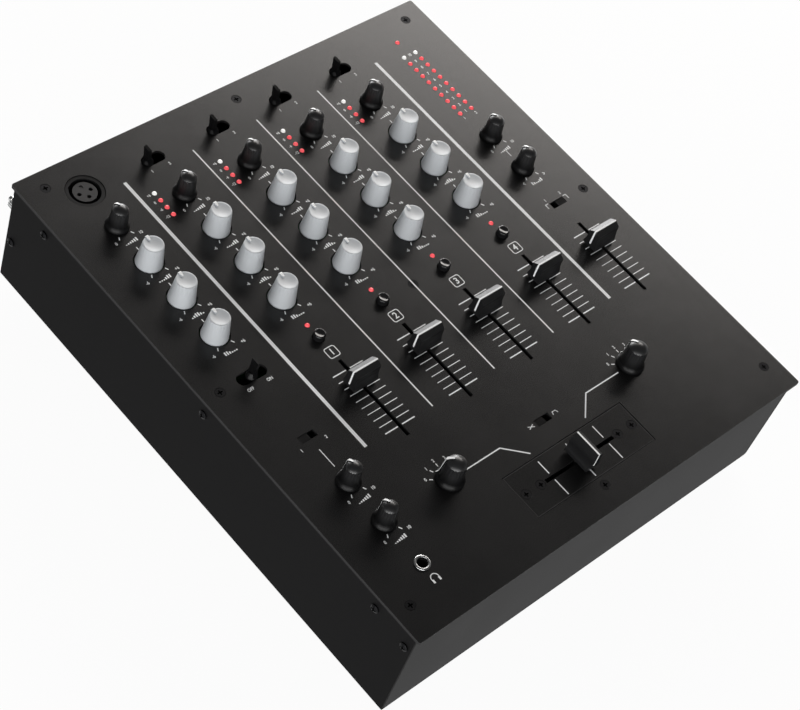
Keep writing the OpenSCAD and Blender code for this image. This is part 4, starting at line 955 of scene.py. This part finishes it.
class MIXER_OT_inlay_pointers(bpy.types.Operator):
    """Lays a white pointer on the rib of every knob"""

    bl_idname = "mixer.inlay_pointers"
    bl_label = "Inlay the knob pointers"

    LEFT_ASSIGN_REST = 30

    def kind(self, name):
        """Which pointer path a knob has."""
        if "assign" in name:
            return "assign"
        return "tone" if any(tone in name for tone in TONES) else "small"

    def pointer(self, points):
        """A thin, softly edged pointer along a path."""
        piece = ribbon(points)
        applied(piece, "SOLIDIFY", thickness=0.12 * MM, offset=0.0)
        recalculated(piece)
        return applied(piece, "BEVEL", width=0.03 * MM, segments=2, limit_method="ANGLE")

    def execute(self, context):
        white = screen_ink("pointer_white", INLAY_WHITE)
        models = {kind: self.pointer(points) for kind, points in POINTER_PATHS.items()}
        for name, joint in JOINT_OF.items():
            if "knob" not in name:
                continue
            turn = math.radians(self.LEFT_ASSIGN_REST) if name == "assign_knob_left" else 0.0
            piece = copied(models[self.kind(name)], Vector(joint["pos_m"]), turn)
            piece.name = piece.data.name = "pointer_" + name
            settle(piece)
            worn(piece, name, white)
        for model in models.values():
            discard(model)
        return {"FINISHED"}


class MIXER_OT_fit_jack_ring(bpy.types.Operator):
    """Lays a smooth nickel ring over the headphone jack's nut"""

    bl_idname = "mixer.fit_jack_ring"
    bl_label = "Fit the jack ring"

    # Radius and height over the panel, up the bore, over the top and back underneath
    PROFILE = (
        (3.42, 0.15), (3.42, 0.72), (3.52, 0.90), (3.74, 1.01), (4.04, 1.06), (4.34, 1.02),
        (4.60, 0.92), (4.78, 0.74), (4.88, 0.50), (4.92, 0.12), (3.42, 0.15),
    )

    def execute(self, context):
        deselect()
        first, rise = self.PROFILE[0]
        place = on_panel(column(0), JACK_Y, rise)
        bpy.ops.mesh.primitive_circle_add(vertices=72, radius=first * MM, location=place)
        ring = bpy.context.object
        bpy.ops.object.mode_set(mode="EDIT")
        bpy.ops.mesh.select_all(action="SELECT")
        for (r0, z0), (r1, z1) in zip(self.PROFILE, self.PROFILE[1:]):
            bpy.ops.mesh.extrude_edges_move(TRANSFORM_OT_translate={"value": (0, 0, (z1 - z0) * MM)})
            bpy.ops.transform.resize(value=(r1 / r0, r1 / r0, 1))
        bpy.ops.object.mode_set(mode="OBJECT")
        recalculated(ring)
        bpy.ops.object.shade_smooth()
        ring = joined("jack_ring", [ring])
        dull = [c * 0.6 for c in context.scene.mixer_finish.nickel_colour]
        nickel = plating("ring_nickel", dull, 0.3, 0.1)
        worn(ring, "chassis", nickel)
        return {"FINISHED"}


class MIXER_OT_inlay_caps(bpy.types.Operator):
    """Lays a white line over the ridge and down the ends of every fader cap"""

    bl_idname = "mixer.inlay_caps"
    bl_label = "Inlay the fader caps"

    # Distance from the cap's middle, height over the panel and width
    LINE = [(-9.2, 4.2, 1.1), (-9.2, 15.4, 1.1), (9.2, 15.4, 1.1), (9.2, 4.2, 1.1)]

    def execute(self, context):
        white = screen_ink("cap_white", INLAY_WHITE)
        for name in JOINT_OF:
            if "fader" not in name:
                continue
            low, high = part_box(name)
            across = name == "crossfader"
            middle = (low + high) / 2
            line = ribbon(self.LINE)
            applied(line, "SOLIDIFY", thickness=0.1 * MM, offset=0.0)
            recalculated(line)
            line.location = (middle.x, middle.y, PANEL_TOP)
            line.rotation_euler = (0, 0, 0 if across else math.radians(90))
            line.name = line.data.name = "cap_line_" + name
            settle(line)
            worn(line, name, white)
        return {"FINISHED"}


class MIXER_OT_set_studio(bpy.types.Operator):
    """Sets the floor, the soft lights and the camera"""

    bl_idname = "mixer.set_studio"
    bl_label = "Set the studio"

    def soft_light(self, name, place, aim, size, power, colour=(1, 1, 1)):
        """A rectangular light at place, turned towards aim."""
        deselect()
        bpy.ops.object.light_add(type="AREA", location=place)
        light = bpy.context.object
        light.name = name
        light.data.shape = "RECTANGLE"
        light.data.size, light.data.size_y = size
        light.data.energy = power
        light.data.color = colour
        light.rotation_euler = (Vector(aim) - Vector(place)).to_track_quat("-Z", "Y").to_euler()

    FLOOR_SIZE = 60
    FLOOR_GLOW = 0.95

    def floor(self, colour):
        """A pale floor that the camera and reflections see as plain white."""
        deselect()
        bpy.ops.mesh.primitive_plane_add(size=self.FLOOR_SIZE)
        floor = bpy.context.object
        floor.name = "studio_floor"
        paint = Finish("studio_white", Base_Color=rgba(colour), Roughness=0.9)
        glow = paint.tree.nodes.new("ShaderNodeEmission")
        mix = paint.tree.nodes.new("ShaderNodeMixShader")
        rays = paint.tree.nodes.new("ShaderNodeLightPath")
        seen = Wire(paint, rays.outputs["Is Camera Ray"]).most(Wire(paint, rays.outputs["Is Glossy Ray"]))
        seen = seen.most(Wire(paint, rays.outputs["Is Transmission Ray"]))
        paint.plug(mix.inputs[0], seen * self.FLOOR_GLOW)
        paint.tree.links.new(paint.shader.outputs[0], mix.inputs[1])
        paint.tree.links.new(glow.outputs[0], mix.inputs[2])
        output = next(n for n in paint.tree.nodes if n.bl_idname == "ShaderNodeOutputMaterial")
        paint.tree.links.new(mix.outputs[0], output.inputs["Surface"])
        floor.data.materials.append(paint.material)

    def room(self, scene, strength):
        """Even white light from all round."""
        world = bpy.data.worlds.new("studio_room")
        world.use_nodes = True
        sky = world.node_tree.nodes["Background"]
        sky.inputs["Color"].default_value = (1, 1, 1, 1)
        sky.inputs["Strength"].default_value = strength
        scene.world = world

    def camera(self, scene):
        """The photograph's viewpoint: its place, its axes and its focal length."""
        deselect()
        bpy.ops.object.camera_add()
        camera = bpy.context.object
        camera.name = "photo_camera"
        right = Vector((0.7193793, -0.6489273, 0.2477633))
        down = Vector((-0.4202811, -0.6906242, -0.5885593))
        ahead = Vector((0.5530436, 0.3192672, -0.7695527))
        turn = Matrix((right, -down, -ahead)).transposed().to_4x4()
        camera.matrix_world = Matrix.Translation(on_panel(-734.675, -433.170, 963.580)) @ turn
        camera.data.sensor_fit = "HORIZONTAL"
        camera.data.sensor_width = 36.0
        camera.data.lens = 98.43
        camera.data.clip_start = 0.01
        camera.data.clip_end = 100
        scene.camera = camera

    def execute(self, context):
        scene = context.scene
        studio = scene.mixer_studio
        scene.view_settings.view_transform = "Standard"
        self.floor(studio.floor_colour)
        self.room(scene, studio.sky_strength)
        warm = (1, 0.955, 0.915)
        self.soft_light("key_light", (1.12, 0.76, 0.94), (0, 0, 0.09), (1.5, 0.4), studio.key_power, warm)
        self.soft_light("camera_light", (-1.7, -1.45, 0.62), (0, 0, 0.06), (3.6, 1.0), studio.fill_power)
        self.soft_light("rear_light", (1.0, 1.55, 0.28), (0, 0, 0.1), (1.6, 0.5), studio.rear_power)
        self.camera(scene)
        return {"FINISHED"}


class MIXER_PT_dresser(bpy.types.Panel):
    """Lists the steps that dress the mixer"""

    bl_idname = "MIXER_PT_dresser"
    bl_label = "Mixer dresser"
    bl_space_type = "VIEW_3D"
    bl_region_type = "UI"
    bl_category = "Mixer"

    def draw(self, context):
        layout = self.layout
        for settings in (context.scene.mixer_finish, context.scene.mixer_print, context.scene.mixer_studio):
            box = layout.box()
            for key in settings.__annotations__:
                box.prop(settings, key)
        for step in STEPS:
            layout.operator(step.bl_idname)


STEPS = (
    MIXER_OT_finish_case,
    MIXER_OT_finish_controls,
    MIXER_OT_finish_sockets,
    MIXER_OT_print_dividers,
    MIXER_OT_print_scales,
    MIXER_OT_print_ticks,
    MIXER_OT_print_numbers,
    MIXER_OT_inlay_pointers,
    MIXER_OT_inlay_caps,
    MIXER_OT_fit_jack_ring,
    MIXER_OT_set_studio,
)
SETTINGS = {
    "mixer_finish": MixerFinishSettings,
    "mixer_print": MixerPrintSettings,
    "mixer_studio": MixerStudioSettings,
}


def register():
    """Registers the settings, the steps and the panel."""
    for name, group in SETTINGS.items():
        bpy.utils.register_class(group)
        setattr(bpy.types.Scene, name, bpy.props.PointerProperty(type=group))
    for cls in STEPS + (MIXER_PT_dresser,):
        bpy.utils.register_class(cls)


def unregister():
    """Takes out what register put in."""
    for cls in reversed(STEPS + (MIXER_PT_dresser,)):
        bpy.utils.unregister_class(cls)
    for name, group in SETTINGS.items():
        delattr(bpy.types.Scene, name)
        bpy.utils.unregister_class(group)


def main():
    """Runs every step."""
    register()
    bpy.ops.mixer.finish_case()
    bpy.ops.mixer.finish_controls()
    bpy.ops.mixer.finish_sockets()
    bpy.ops.mixer.print_dividers()
    bpy.ops.mixer.print_scales()
    bpy.ops.mixer.print_ticks()
    bpy.ops.mixer.print_numbers()
    bpy.ops.mixer.inlay_pointers()
    bpy.ops.mixer.inlay_caps()
    bpy.ops.mixer.fit_jack_ring()
    bpy.ops.mixer.set_studio()


if __name__ == "__main__":
    main()
